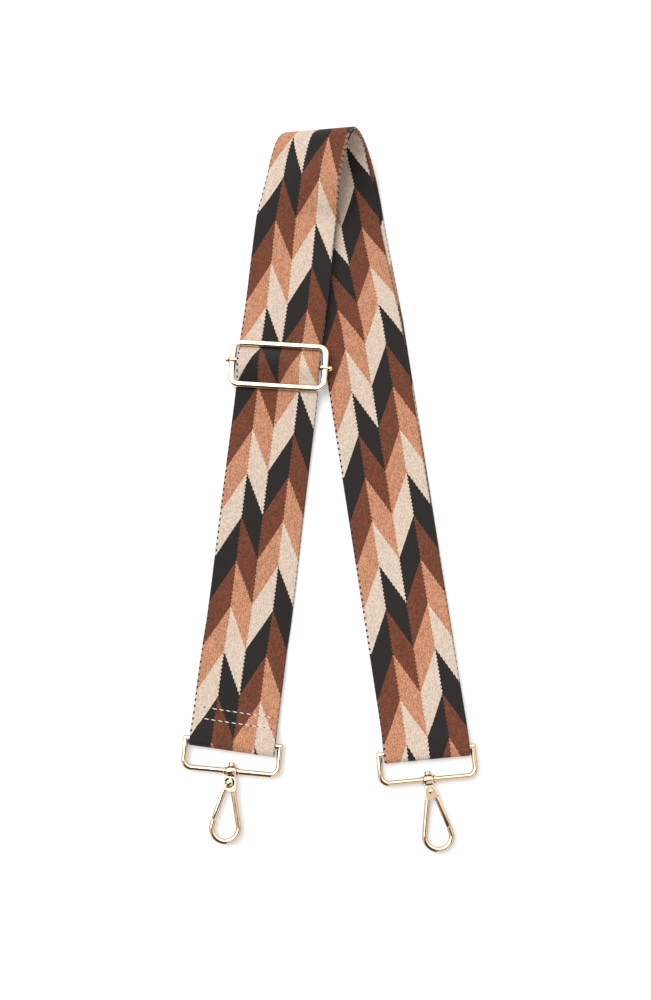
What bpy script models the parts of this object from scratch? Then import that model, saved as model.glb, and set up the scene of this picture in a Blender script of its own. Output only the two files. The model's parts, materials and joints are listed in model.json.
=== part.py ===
"""Detachable bag strap: doubled patterned webbing, a slider and two swivel snap hooks.

The strap lies on a table as in the photograph. X runs to the right, Y away
from the viewer towards the fold and Z up. All sizes are in metres.
"""

import math

import bmesh
import bpy
from mathutils import Matrix, Vector

MM = 0.001

# Webbing
webbing_width = 50.0 * MM
webbing_thickness = 1.4 * MM
layer_gap = 0.3 * MM
cut_gap = 0.3 * MM
loop_slack = 1.6 * MM
tail_length = 42.0 * MM
tail_ramp = 14.0 * MM
bar_tail_length = 5.4 * MM

# Layout on the table
left_bar_x = -56.4 * MM
left_bar_y = -153.6 * MM
right_bar_x = 56.1 * MM
right_bar_y = -158.5 * MM
fold_x = -20.5 * MM
fold_y = 163.0 * MM
slider_below_fold = 39.1 * MM
left_ring_sideways = 0.45 * MM
right_ring_sideways = -0.45 * MM
left_swivel_sideways = 1.0 * MM
right_swivel_sideways = -0.8 * MM
left_loop_skew = math.radians(-2.8)
right_loop_skew = 0.0
left_clasp_turn = math.radians(-5.4)
right_clasp_turn = math.radians(5.4)
left_hook_turn = math.radians(-2.9)
right_hook_turn = math.radians(7.0)
slider_turn = math.radians(-4.3)
slider_roll = math.radians(3.0)

# Rings
ring_wire = 3.5 * MM
ring_side_clearance = 0.75 * MM
ring_drop = 16.5 * MM
ring_bottom_corner = 4.6 * MM
boss_radius = 2.8 * MM
boss_length = 6.0 * MM
collar_radius = 2.3 * MM
collar_length = 1.4 * MM

# Swivel post and hook
post_radius = 1.3 * MM
swivel_clearance = 0.1 * MM
seat_gap = 0.25 * MM
post_head_radius = 2.2 * MM
post_head_height = 2.0 * MM
neck_radius = 1.9 * MM
head_thickness = 5.4 * MM
head_radius = 4.0 * MM
hook_wire = 3.6 * MM
rivet_drop = 6.6 * MM
rivet_offset = 0.5 * MM
bow_radius = 7.75 * MM
bow_offset = 1.45 * MM
bow_drop = 32.0 * MM
arm_top_drop = 9.0 * MM
arm_top_offset = -1.5 * MM
nose_length = 2.6 * MM

# Gate, rivet and spring
cheek_thickness = 1.3 * MM
rivet_radius = 1.0 * MM
rivet_head_radius = 1.9 * MM
rivet_head_height = 0.5 * MM
rivet_clearance = 0.1 * MM
gate_eye_radius = 2.4 * MM
gate_eye_thickness = 1.6 * MM
gate_width = 3.2 * MM
gate_depth = 2.4 * MM
gate_clearance = 0.35 * MM
gate_bend_drop = 10.5 * MM
gate_bend_offset = 3.6 * MM
spring_wire = 0.45 * MM
spring_radius = 1.75 * MM
spring_turns = 1.75

# Slider
slider_rail_width = 3.5 * MM
slider_rail_height = 3.0 * MM
slider_side_clearance = 1.25 * MM
slider_reach = 12.8 * MM
slider_corner = 4.4 * MM
bar_loop_share = 0.45
bar_skew = math.radians(-1.8)
bar_shift = 0.95 * MM
bar_radius = 1.4 * MM
tenon_radius = 0.8 * MM
tenon_clearance = 0.1 * MM
knob_radius = 1.7 * MM
knob_length = 2.4 * MM
side_boss_radius = 2.0 * MM
side_boss_proud = 0.7 * MM

# Facets
wire_sides = 12
round_sides = 16
corner_steps = 4
fold_steps = 4
fold_columns = 3
overrun = 1.0 * MM

# Stations of the left run: how far along it is and how far it has turned.
LEFT_RUN_SHARES = ((0.30, 0.0), (0.60, 0.20), (0.82, 0.55), (0.92, 0.80))

# Path of the outer layer from the slider over the fold to the right leg.
# Each row: across and along the table as shares of the width, the share of a
# second layer below, the lift share of the lower edge, yaw and roll in degrees.
FOLD_SHARES = (
    (-0.118, -1.076, 1.00, 0.003, -6.75, 5.3),
    (-0.058, -0.516, 1.00, 0.002, -7.0, 6.4),
    (0.000, 0.000, 1.00, 0.000, -8.5, 8.0),
    (0.038, 0.224, 1.00, 0.004, -11.5, 17.0),
    (0.078, 0.469, 1.00, 0.027, -14.0, 24.5),
    (0.131, 0.717, 1.00, 0.072, -12.0, 26.0),
    (0.206, 0.939, 1.00, 0.128, -9.5, 27.5),
    (0.279, 1.030, 0.60, 0.083, -11.0, 32.0),
    (0.327, 1.029, 0.30, 0.051, -9.0, 29.0),
    (0.358, 0.987, 0.00, 0.022, -7.0, 22.0),
    (0.398, 0.865, 0.00, 0.008, -3.0, 13.5),
    (0.446, 0.679, 0.00, 0.004, 1.0, 7.3),
    (0.504, 0.409, 0.00, 0.002, 5.5, 3.3),
    (0.554, 0.145, 0.00, 0.001, 8.0, 0.9),
    (0.611, -0.213, 0.00, 0.000, 8.2, 0.0),
    (0.719, -0.822, 0.00, 0.000, 8.0, 0.0),
    (0.812, -1.332, 0.00, 0.000, 7.9, 0.0),
)
FOLD_CUT_ROWS = (2, 14)

GOLD = (0.83, 0.66, 0.42)
GOLD_DARK = (0.72, 0.55, 0.33)
STEEL = (0.62, 0.61, 0.60)
WEBBING_TAN = (0.55, 0.24, 0.12)
WEBBING_BROWN = (0.14, 0.05, 0.03)
WEBBING_BLACK = (0.03, 0.03, 0.03)
WEBBING_BEIGE = (0.73, 0.58, 0.45)

# Worked out from the sizes above
layer_step = webbing_thickness + layer_gap
ring_bar_radius = 0.5 * ring_wire
loop_radius = ring_bar_radius + layer_gap + 0.5 * webbing_thickness
ring_height = loop_radius + 0.5 * webbing_thickness
ring_half_width = 0.5 * (webbing_width + ring_wire) + ring_side_clearance
slider_half_width = 0.5 * (webbing_width + slider_rail_width) + slider_side_clearance
slider_rise = 0.5 * webbing_width * math.sin(slider_roll)
slider_height = 0.5 * slider_rail_height + 2.0 * layer_step + slider_rise
bar_loop_radius = bar_radius + layer_gap + 0.5 * webbing_thickness
pass_low = -(0.5 * slider_rail_height + layer_gap + 0.5 * webbing_thickness)
pass_high = bar_loop_radius + layer_step
cheek_face = 0.5 * head_thickness
pocket_floor = cheek_face - cheek_thickness
spring_floor = pocket_floor - 0.5 * spring_wire - seat_gap
gate_eye_open = rivet_head_height - cheek_face
gate_eye_inner = gate_eye_open + gate_eye_thickness


def clear_scene():
    for thing in list(bpy.data.objects):
        bpy.data.objects.remove(thing, do_unlink=True)


def make_material(name, colour, roughness, metallic):
    material = bpy.data.materials.new(name)
    material.use_nodes = True
    shader = material.node_tree.nodes["Principled BSDF"]
    shader.inputs["Base Color"].default_value = (*colour, 1.0)
    shader.inputs["Roughness"].default_value = roughness
    shader.inputs["Metallic"].default_value = metallic
    return material


def cloth(name, colour):
    return make_material(name + "_cloth", colour, 0.8, 0.0)


def metal(name, colour=GOLD):
    return make_material(name + "_metal", colour, 0.22, 1.0)


def add_object(name, mesh, material, parent=None, frame=None):
    thing = bpy.data.objects.new(name, mesh)
    bpy.context.scene.collection.objects.link(thing)
    if material is not None:
        mesh.materials.append(material)
    thing.parent = parent
    if frame is not None:
        thing.matrix_local = frame
    return thing


def mesh_from(bm, name):
    bmesh.ops.recalc_face_normals(bm, faces=bm.faces)
    mesh = bpy.data.meshes.new(name)
    bm.to_mesh(mesh)
    bm.free()
    return mesh


def add_empty(name, frame, parent=None):
    empty = bpy.data.objects.new(name, None)
    bpy.context.scene.collection.objects.link(empty)
    empty.parent = parent
    empty.matrix_local = frame
    return empty


def flat_frame(x, y, z, turn):
    return Matrix.Translation((x, y, z)) @ Matrix.Rotation(turn, 4, "Z")


def boolean(thing, tool, operation):
    modifier = thing.modifiers.new(operation.lower() + "_" + tool.name, "BOOLEAN")
    modifier.operation = operation
    modifier.solver = "EXACT"
    modifier.object = tool
    tool.hide_render = True
    tool.display_type = "WIRE"


def bake(thing):
    """Apply the modifiers and drop the tools that they used."""
    tools = [m.object for m in thing.modifiers if m.type == "BOOLEAN"]
    bpy.context.view_layer.update()
    graph = bpy.context.evaluated_depsgraph_get()
    mesh = bpy.data.meshes.new_from_object(thing.evaluated_get(graph))
    bm = bmesh.new()
    bm.from_mesh(mesh)
    bmesh.ops.remove_doubles(bm, verts=bm.verts, dist=1e-6)
    bmesh.ops.dissolve_degenerate(bm, edges=bm.edges, dist=1e-6)
    bm.to_mesh(mesh)
    bm.free()
    thing.modifiers.clear()
    thing.data = mesh
    for tool in tools:
        bpy.data.objects.remove(tool, do_unlink=True)


# Webbing

def cross_of(yaw, roll):
    return Vector((math.cos(roll) * math.cos(yaw), math.cos(roll) * math.sin(yaw), math.sin(roll)))


def station(x, y, z, yaw, roll=0.0):
    """Centre of the webbing and the direction across it."""
    return Vector((x, y, z)), cross_of(yaw, roll)


def framed_station(frame, along, height):
    """A station on the Y and Z plane of a frame, straight across its X axis."""
    centre = frame @ Vector((0.0, along, height))
    return centre, frame.to_3x3() @ Vector((1.0, 0.0, 0.0))


def smooth_rows(rows, steps):
    """Catmull-Rom through rows of numbers, each row a tuple of one length."""
    padded = [rows[0]] + list(rows) + [rows[-1]]
    result = []
    for index in range(1, len(padded) - 2):
        a, b, c, d = padded[index - 1:index + 3]
        for step in range(steps):
            u = step / steps
            row = []
            for p, q, r, s in zip(a, b, c, d):
                value = 2.0 * q + (r - p) * u
                value += (2.0 * p - 5.0 * q + 4.0 * r - s) * u * u
                value += (3.0 * q - p - 3.0 * r + s) * u * u * u
                row.append(0.5 * value)
            result.append(tuple(row))
    result.append(tuple(rows[-1]))
    return result


def smooth_stations(stations, steps):
    rows = [(*centre, *cross) for centre, cross in stations]
    smooth = smooth_rows(rows, steps)
    return [(Vector(row[:3]), Vector(row[3:]).normalized()) for row in smooth]


def grid_of(stations, columns=1):
    """Points of the middle surface, one row for each station."""
    grid = []
    for centre, cross in stations:
        row = []
        for column in range(columns + 1):
            share = column / columns - 0.5
            row.append(centre + cross * (share * webbing_width))
        grid.append(row)
    return grid


def shortened(grid, first, last):
    """The grid with its first and last rows moved inwards along the webbing."""
    result = [list(row) for row in grid]
    for column in range(len(grid[0])):
        inward = (grid[1][column] - grid[0][column]).normalized()
        result[0][column] = grid[0][column] + inward * first
        inward = (grid[-2][column] - grid[-1][column]).normalized()
        result[-1][column] = grid[-1][column] + inward * last
    return result


def grid_normals(grid):
    """Normals of face A, which faces up where the webbing runs up the table."""
    normals = []
    last = len(grid) - 1
    for index, row in enumerate(grid):
        before = grid[max(index - 1, 0)]
        after = grid[min(index + 1, last)]
        cross = row[-1] - row[0]
        normals.append([cross.cross(b - a).normalized() for a, b in zip(before, after)])
    return normals


def slab(name, grid, material, side=0.0, parent=None, frame=None):
    """Closed strip of webbing whose middle lies at side from the grid."""
    normals = grid_normals(grid)
    grid = shortened(grid, 0.5 * cut_gap, 0.5 * cut_gap)
    bm = bmesh.new()
    layers = []
    for offset in (side + 0.5 * webbing_thickness, side - 0.5 * webbing_thickness):
        layer = []
        for row, ns in zip(grid, normals):
            layer.append([bm.verts.new(p + n * offset) for p, n in zip(row, ns)])
        layers.append(layer)
    top, low = layers
    columns = len(grid[0]) - 1
    for i in range(len(grid) - 1):
        for j in range(columns):
            bm.faces.new((top[i][j], top[i][j + 1], top[i + 1][j + 1], top[i + 1][j]))
            bm.faces.new((low[i][j], low[i + 1][j], low[i + 1][j + 1], low[i][j + 1]))
        for j in (0, columns):
            bm.faces.new((top[i][j], top[i + 1][j], low[i + 1][j], low[i][j]))
    for i in (0, len(grid) - 1):
        for j in range(columns):
            bm.faces.new((top[i][j], low[i][j], low[i][j + 1], top[i][j + 1]))
    bmesh.ops.triangulate(bm, faces=bm.faces, quad_method="FIXED")
    mesh = mesh_from(bm, name)
    thing = add_object(name, mesh, material, parent)
    if parent is not None:
        thing.matrix_parent_inverse = parent.matrix_world.inverted()
    return thing


def leg_frame(side):
    """Frame at a ring bar, its Y axis up the leg."""
    if side == "left":
        return flat_frame(left_bar_x, left_bar_y, 0.0, left_clasp_turn)
    return flat_frame(right_bar_x, right_bar_y, 0.0, right_clasp_turn)


def fold_stations():
    rows = []
    for across, along, below, lift, yaw, roll in FOLD_SHARES:
        roll = math.radians(roll)
        height = 0.5 * webbing_thickness + below * layer_step
        height += webbing_width * (lift + 0.5 * math.sin(roll))
        x = fold_x + across * webbing_width
        y = fold_y + along * webbing_width
        rows.append(station(x, y, height, math.radians(yaw), roll))
    return rows


def end_loop(frame, skew):
    """Half circle round a bar from below to above, its outer end skewed across."""
    stations = []
    steps = 2 * corner_steps
    for step in range(steps + 1):
        angle = math.pi * step / steps
        along = -loop_slack - loop_radius * math.sin(angle)
        height = ring_height - loop_radius * math.cos(angle)
        turned = frame @ Matrix.Rotation(skew * math.sin(angle), 4, "Z")
        centre = frame @ Vector((0.0, along, height))
        stations.append((centre, turned.to_3x3() @ Vector((1.0, 0.0, 0.0))))
    low = framed_station(frame, 0.0, ring_height - loop_radius)
    high = framed_station(frame, 0.0, ring_height + loop_radius)
    return [low] + stations + [high]


def slider_frame_matrix():
    """Frame at the middle of the slider's bar, its Y axis up the leg."""
    start = Vector((left_bar_x, left_bar_y, 0.0))
    target = Vector((fold_x, fold_y, 0.0))
    target += Vector((FOLD_SHARES[0][0], FOLD_SHARES[0][1], 0.0)) * webbing_width
    up = (target - start).normalized()
    place = target - up * slider_below_fold
    frame = flat_frame(place.x, place.y, slider_height, slider_turn)
    return frame @ Matrix.Rotation(-slider_roll, 4, "Y")


def bar_matrix(share):
    """The bar lies a little askew in its frame; a share of that turn and shift."""
    return Matrix.Translation((0.0, share * bar_shift, 0.0)) @ Matrix.Rotation(share * bar_skew, 4, "Z")


def pass_station(frame, along, height):
    """A station through the slider, which follows the bar where it is near it."""
    near = max(0.0, 1.0 - abs(along) / slider_reach)
    share = near * near * (3.0 - 2.0 * near)
    return framed_station(frame @ bar_matrix(share), along, height)


def pass_rows():
    """Along and height of the top layer through the slider, in its frame."""
    low, high = pass_low, pass_high
    rise = high - low
    reach = slider_reach
    half = (
        (1.30 * reach, low),
        (1.00 * reach, low),
        (0.74 * reach, low + 0.22 * rise),
        (0.42 * reach, low + 0.70 * rise),
        (0.17 * reach, low + 0.96 * rise),
    )
    rows = [(-along, height) for along, height in half]
    rows.append((0.0, high))
    rows.extend(reversed(half))
    return rows


def build_left_end():
    frame = leg_frame("left")
    low = 0.5 * webbing_thickness
    tail = [framed_station(frame, tail_length, low), framed_station(frame, 0.0, low)]
    slab("webbing_left_tail", grid_of(tail), cloth("left_tail", WEBBING_BEIGE))
    slab("webbing_left_loop", grid_of(end_loop(frame, left_loop_skew)), cloth("left_loop", WEBBING_TAN))
    over = low + layer_step
    top = ring_height + loop_radius
    rows = (
        (0.0, top),
        (0.45 * tail_ramp, 0.75 * top + 0.25 * over),
        (tail_ramp, over),
        (tail_length, over),
        (tail_length + 0.5 * tail_ramp, 0.5 * (over + low)),
        (tail_length + tail_ramp, low),
    )
    smooth = smooth_rows(rows, 2)
    stations = [framed_station(frame, along, height) for along, height in smooth]
    slab("webbing_left_end", grid_of(stations), cloth("left_end", WEBBING_TAN))
    return stations[-1]


def build_slider_webbing(slider, last_left):
    frame = slider.matrix_world.copy()
    rows = smooth_rows(pass_rows(), 2)
    over = [pass_station(frame, along, height) for along, height in rows]
    slab("webbing_slider_pass", grid_of(over), cloth("slider_pass", WEBBING_BROWN), parent=slider)
    run = [last_left]
    for share, turn_share in LEFT_RUN_SHARES:
        centre = last_left[0].lerp(over[0][0], share)
        cross = last_left[1].lerp(over[0][1], turn_share).normalized()
        centre.z = last_left[0].z + 0.5 * webbing_width * cross.z
        run.append((centre, cross))
    run.append(over[0])
    slab("webbing_left_run", grid_of(smooth_stations(run, 2)), cloth("left_run", WEBBING_BLACK))
    upper = [row for row in rows if 0.0 <= row[0] <= bar_loop_share * slider_reach]
    first = rows.index(upper[0])
    loop = over[first:first + len(upper)]
    bar_frame = frame @ bar_matrix(1.0)
    low_side = []
    steps = 2 * corner_steps
    for step in range(steps + 1):
        angle = math.pi * step / steps
        along = -bar_loop_radius * math.sin(angle)
        height = bar_loop_radius * math.cos(angle)
        low_side.append(framed_station(bar_frame, along, height))
    tail_drop = 0.6 * layer_step
    tail = framed_station(bar_frame, bar_tail_length, -bar_loop_radius - tail_drop)
    normals = grid_normals(grid_of(over))[first:]
    under = []
    for (centre, cross), ns in zip(loop, normals):
        under.append((centre - ns[0] * layer_step, cross))
    path = list(reversed(under))[:-1] + low_side + [tail]
    slab("webbing_bar_loop", grid_of(path), cloth("bar_loop", WEBBING_TAN), parent=slider)
    beyond = rows[rows.index(upper[-1]):]
    return [pass_station(frame, along, height) for along, height in beyond]


def build_upper_webbing(beyond):
    """Both layers from the slider over the fold; the lower one starts at its bar."""
    stations = [beyond[-1]] + fold_stations()
    smooth = smooth_stations(stations, fold_steps)
    first, last = (row_index * fold_steps for row_index in FOLD_CUT_ROWS)
    grid = grid_of(smooth, fold_columns)
    run, fold = grid[:first + 1], grid[first:last + fold_steps + 1]
    lower = grid_of(beyond[:-1], fold_columns) + run
    slab("webbing_left_upper", run, cloth("left_upper", WEBBING_BEIGE))
    slab("webbing_return_run", lower, cloth("return_run", WEBBING_BROWN), side=-layer_step)
    slab("webbing_fold_outer", fold, cloth("fold_outer", WEBBING_TAN))
    slab("webbing_fold_inner", fold, cloth("fold_inner", WEBBING_BLACK), side=-layer_step)
    return smooth[last + fold_steps:]


def build_right_leg(fold_end):
    frame = leg_frame("right")
    low = 0.5 * webbing_thickness
    over = low + layer_step
    top = ring_height + loop_radius
    near = framed_station(frame, tail_ramp, low)
    bar = framed_station(frame, 0.0, low)
    bottom = fold_end + [near, bar]
    slab("webbing_right_bottom", grid_of(bottom), cloth("right_bottom", WEBBING_BROWN))
    slab("webbing_right_loop", grid_of(end_loop(frame, right_loop_skew)), cloth("right_loop", WEBBING_TAN))
    lift = Vector((0.0, 0.0, layer_step))
    rows = ((0.0, top), (0.45 * tail_ramp, 0.75 * top + 0.25 * over), (tail_ramp, over))
    stations = [framed_station(frame, along, height) for along, height in smooth_rows(rows, 2)]
    stations.extend((centre + lift, cross) for centre, cross in reversed(fold_end))
    slab("webbing_right_top", grid_of(stations), cloth("right_top", WEBBING_BEIGE))


# Wire forms

def arc_points(centre, radius, start, end, steps):
    points = []
    for step in range(steps + 1):
        angle = start + (end - start) * step / steps
        points.append(Vector((centre[0] + radius * math.cos(angle), centre[1] + radius * math.sin(angle), 0.0)))
    return points


def wire_tube(bm, points, half_width, half_height, closed, sides=wire_sides):
    """Sweep an oval along points in the XY plane."""
    count = len(points)
    rings = []
    for index, point in enumerate(points):
        if closed:
            before, after = points[index - 1], points[(index + 1) % count]
        else:
            before, after = points[max(index - 1, 0)], points[min(index + 1, count - 1)]
        into = (point - before).normalized() if (point - before).length > 0.0 else None
        out = (after - point).normalized() if (after - point).length > 0.0 else None
        into = into or out
        out = out or into
        tangent = (into + out).normalized()
        stretch = 1.0 / tangent.dot(out)
        sideways = Vector((tangent.y, -tangent.x, 0.0)) * stretch
        ring = []
        for side in range(sides):
            angle = 2.0 * math.pi * (side + 0.5) / sides
            place = point + sideways * (half_width * math.cos(angle))
            ring.append(bm.verts.new(place + Vector((0.0, 0.0, half_height * math.sin(angle)))))
        rings.append(ring)
    last = count if closed else count - 1
    for index in range(last):
        here, there = rings[index], rings[(index + 1) % count]
        for side in range(sides):
            other = (side + 1) % sides
            bm.faces.new((here[side], here[other], there[other], there[side]))
    if not closed:
        bm.faces.new(rings[0])
        bm.faces.new(list(reversed(rings[-1])))


def lathe(bm, profile, frame, sides=round_sides):
    """Turn a profile of (along, radius) pairs about the frame's Z axis."""
    rings = []
    for along, radius in profile:
        ring = []
        for side in range(sides):
            angle = 2.0 * math.pi * side / sides
            place = Vector((radius * math.cos(angle), radius * math.sin(angle), along))
            ring.append(bm.verts.new(frame @ place))
        rings.append(ring)
    for here, there in zip(rings, rings[1:]):
        for side in range(sides):
            other = (side + 1) % sides
            bm.faces.new((here[side], here[other], there[other], there[side]))
    bm.faces.new(list(reversed(rings[0])))
    bm.faces.new(rings[-1])


def prism(bm, outline, base, top):
    low = [bm.verts.new((x, y, base)) for x, y in outline]
    face = bm.faces.new(low)
    grown = bmesh.ops.extrude_face_region(bm, geom=[face])
    verts = [item for item in grown["geom"] if isinstance(item, bmesh.types.BMVert)]
    bmesh.ops.translate(bm, verts=verts, vec=(0.0, 0.0, top - base))


def tool_object(name, bm, frame):
    return add_object(name, mesh_from(bm, name), None, None, frame)


ALONG_X = Matrix.Rotation(math.radians(90.0), 4, "Y")
DOWN_Y = Matrix.Rotation(math.radians(90.0), 4, "X")


def rounded_rectangle(half_width, low, high, low_corner, high_corner):
    """Closed centreline of a ring; a high corner of zero is a sharp one."""
    quarter = math.pi / 2.0
    points = []
    steps = corner_steps
    if high_corner > 0.0:
        points += arc_points((half_width - high_corner, high - high_corner), high_corner, 0.0, quarter, steps)
        points += arc_points((high_corner - half_width, high - high_corner), high_corner, quarter, 2.0 * quarter, steps)
    else:
        points += [Vector((half_width, high, 0.0)), Vector((-half_width, high, 0.0))]
    points += arc_points((low_corner - half_width, low + low_corner), low_corner, 2.0 * quarter, 3.0 * quarter, steps)
    points += arc_points((half_width - low_corner, low + low_corner), low_corner, 3.0 * quarter, 4.0 * quarter, steps)
    return points


# Rings and hooks

def build_ring(side, ring_frame, hook_frame):
    """Ring of wire with a drilled boss in the middle of its lower bar."""
    bm = bmesh.new()
    outline = rounded_rectangle(ring_half_width, -ring_drop, 0.0, ring_bottom_corner, 0.0)
    wire_tube(bm, outline, ring_bar_radius, ring_bar_radius, True)
    ring = add_object(side + "_ring", mesh_from(bm, side + "_ring"), metal(side + "_ring"), None, ring_frame)
    half = 0.5 * boss_length
    end = half + collar_length
    profile = (
        (-end, 0.85 * collar_radius),
        (-end + 0.2 * collar_length, collar_radius),
        (-half, collar_radius),
        (-half, boss_radius),
        (half, boss_radius),
        (half, collar_radius),
        (end - 0.2 * collar_length, collar_radius),
        (end, 0.85 * collar_radius),
    )
    bm = bmesh.new()
    lathe(bm, profile, ALONG_X)
    boss = tool_object("boss", bm, hook_frame)
    boolean(ring, boss, "UNION")
    bm = bmesh.new()
    reach = boss_radius + overrun
    bore = post_radius + swivel_clearance
    lathe(bm, ((-reach, bore), (reach, bore)), DOWN_Y)
    drill = tool_object("drill", bm, hook_frame)
    boolean(ring, drill, "DIFFERENCE")
    bake(ring)
    return ring


def bow_points():
    """Centreline of the hook's arm and bow, from the head to the nose."""
    centre = (bow_offset, -bow_drop)
    points = [Vector((arm_top_offset, -arm_top_drop, 0.0))]
    points += arc_points(centre, bow_radius, math.radians(172.0), math.radians(372.0), 3 * corner_steps)
    tip = points[-1]
    lean = math.radians(12.0)
    points.append(tip + Vector((-math.sin(lean), math.cos(lean), 0.0)) * nose_length)
    return points


def head_outline():
    """Outline of the hook's head, from the neck down round the rivet."""
    left = rivet_offset - head_radius
    points = [(neck_radius, -boss_radius - seat_gap), (-neck_radius, -boss_radius - seat_gap)]
    points.append((0.95 * left, -rivet_drop + 0.2 * head_radius))
    points.append((left, -rivet_drop - 0.6 * head_radius))
    points.append((arm_top_offset - 0.5 * hook_wire, -arm_top_drop - 0.6 * hook_wire))
    points.append((arm_top_offset + 0.45 * hook_wire, -arm_top_drop - 0.6 * hook_wire))
    lower = arc_points((rivet_offset, -rivet_drop), head_radius, math.radians(-62.0), math.radians(40.0), 6)
    points += [(point.x, point.y) for point in lower]
    return points


def build_hook(side, frame):
    """Cast hook: swivel post, head with a pocket for the gate, arm and bow."""
    bm = bmesh.new()
    wire_tube(bm, bow_points(), 0.5 * hook_wire, 0.5 * hook_wire, False)
    hook = add_object(side + "_hook", mesh_from(bm, side + "_hook"), metal(side + "_hook"), None, frame)
    bm = bmesh.new()
    prism(bm, head_outline(), -cheek_face, cheek_face)
    boolean(hook, tool_object("head", bm, frame), "UNION")
    head_start = boss_radius + seat_gap
    profile = (
        (-head_start - post_head_height, 0.75 * post_head_radius),
        (-head_start - 0.7 * post_head_height, post_head_radius),
        (-head_start, post_head_radius),
        (-head_start, post_radius),
        (head_start, post_radius),
        (head_start, neck_radius),
        (head_start + neck_radius, neck_radius),
    )
    bm = bmesh.new()
    lathe(bm, profile, DOWN_Y)
    boolean(hook, tool_object("post", bm, frame), "UNION")
    pocket = gate_eye_radius + gate_clearance
    bm = bmesh.new()
    prism(bm, pocket_outline(pocket), -cheek_face - overrun, pocket_floor)
    boolean(hook, tool_object("pocket", bm, frame), "DIFFERENCE")
    bm = bmesh.new()
    hole = rivet_radius + rivet_clearance
    lathe(bm, ((-overrun, hole), (cheek_face + overrun, hole)), rivet_matrix())
    boolean(hook, tool_object("rivet_hole", bm, frame), "DIFFERENCE")
    bake(hook)
    return hook


def rivet_matrix():
    return Matrix.Translation((rivet_offset, -rivet_drop, 0.0))


def pocket_outline(radius):
    """Round the rivet above, open towards the gate and the hook's mouth."""
    arc = arc_points((rivet_offset, -rivet_drop), radius, math.radians(20.0), math.radians(200.0), 10)
    points = [(point.x, point.y) for point in arc]
    reach = 2.0 * head_radius
    points.append((rivet_offset - 0.25 * radius, -rivet_drop - 1.1 * radius))
    points.append((rivet_offset + 0.1 * radius, -rivet_drop - reach))
    points.append((rivet_offset + reach, -rivet_drop - reach))
    points.append((rivet_offset + reach, -rivet_drop + 0.34 * radius))
    return points


def gate_tip():
    """Point on the gate's centreline just above the hook's nose."""
    nose = bow_points()[-1]
    bend = Vector((gate_bend_offset, -gate_bend_drop, 0.0))
    toward = (nose - bend).normalized()
    return nose - toward * gate_clearance


def build_gate(side, frame):
    """Gate with its eye on the rivet and its arm closing on the nose."""
    pin = rivet_matrix()
    bend = Vector((gate_bend_offset, -gate_bend_drop, 0.0)) - pin.translation
    tip = gate_tip() - pin.translation
    bm = bmesh.new()
    lathe(bm, ((gate_eye_open, gate_eye_radius), (gate_eye_inner, gate_eye_radius)), Matrix.Identity(4))
    gate = add_object(side + "_gate", mesh_from(bm, side + "_gate"), metal(side + "_gate", GOLD_DARK))
    place = frame @ pin
    gate.matrix_local = place
    toward = (bend.to_2d()).normalized()
    sideways = Vector((toward.y, -toward.x))
    half = 0.5 * gate_width
    inner = sideways * (0.8 * half)
    bm = bmesh.new()
    corners = [inner, -inner, bend.to_2d() - inner, bend.to_2d() + inner]
    prism(bm, [(c.x, c.y) for c in corners], gate_eye_open, gate_eye_inner)
    boolean(gate, tool_object("web", bm, place), "UNION")
    bm = bmesh.new()
    wire_tube(bm, [bend * 0.92, tip], half, 0.5 * gate_depth, False)
    boolean(gate, tool_object("arm", bm, place), "UNION")
    bm = bmesh.new()
    hole = rivet_radius + rivet_clearance
    lathe(bm, ((gate_eye_open - overrun, hole), (gate_eye_inner + overrun, hole)), Matrix.Identity(4))
    boolean(gate, tool_object("eye_hole", bm, place), "DIFFERENCE")
    bake(gate)
    return gate


def build_rivet(side, frame):
    """Rivet from its head over the gate's eye through to the cheek."""
    seat = gate_eye_open - 0.5 * seat_gap
    profile = (
        (seat - rivet_head_height, 0.7 * rivet_head_radius),
        (seat - 0.6 * rivet_head_height, rivet_head_radius),
        (seat, rivet_head_radius),
        (seat, rivet_radius),
        (cheek_face, rivet_radius),
    )
    bm = bmesh.new()
    lathe(bm, profile, Matrix.Identity(4))
    name = side + "_rivet"
    return add_object(name, mesh_from(bm, name), metal(name), None, frame @ rivet_matrix())


def build_spring(side, frame):
    """Torsion coil round the rivet under the gate's eye."""
    name = side + "_gate_spring"
    steps = int(12 * spring_turns)
    points = []
    room = pocket_floor - gate_eye_inner - 2.0 * seat_gap - spring_wire
    for step in range(steps + 1):
        angle = 2.0 * math.pi * spring_turns * step / steps
        height = spring_floor - room * step / steps
        points.append(Vector((spring_radius * math.cos(angle), spring_radius * math.sin(angle), height)))
    bm = bmesh.new()
    rings = []
    sides = 6
    for index, point in enumerate(points):
        before, after = points[max(index - 1, 0)], points[min(index + 1, steps)]
        tangent = (after - before).normalized()
        outward = Vector((point.x, point.y, 0.0)).normalized()
        outward = (outward - tangent * outward.dot(tangent)).normalized()
        other = tangent.cross(outward)
        ring = []
        for k in range(sides):
            turn = 2.0 * math.pi * k / sides
            ring.append(bm.verts.new(point + (outward * math.cos(turn) + other * math.sin(turn)) * (0.5 * spring_wire)))
        rings.append(ring)
    for here, there in zip(rings, rings[1:]):
        for k in range(sides):
            m = (k + 1) % sides
            bm.faces.new((here[k], here[m], there[m], there[k]))
    bm.faces.new(rings[0])
    bm.faces.new(list(reversed(rings[-1])))
    return add_object(name, mesh_from(bm, name), metal(name, STEEL), None, frame @ rivet_matrix())


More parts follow.
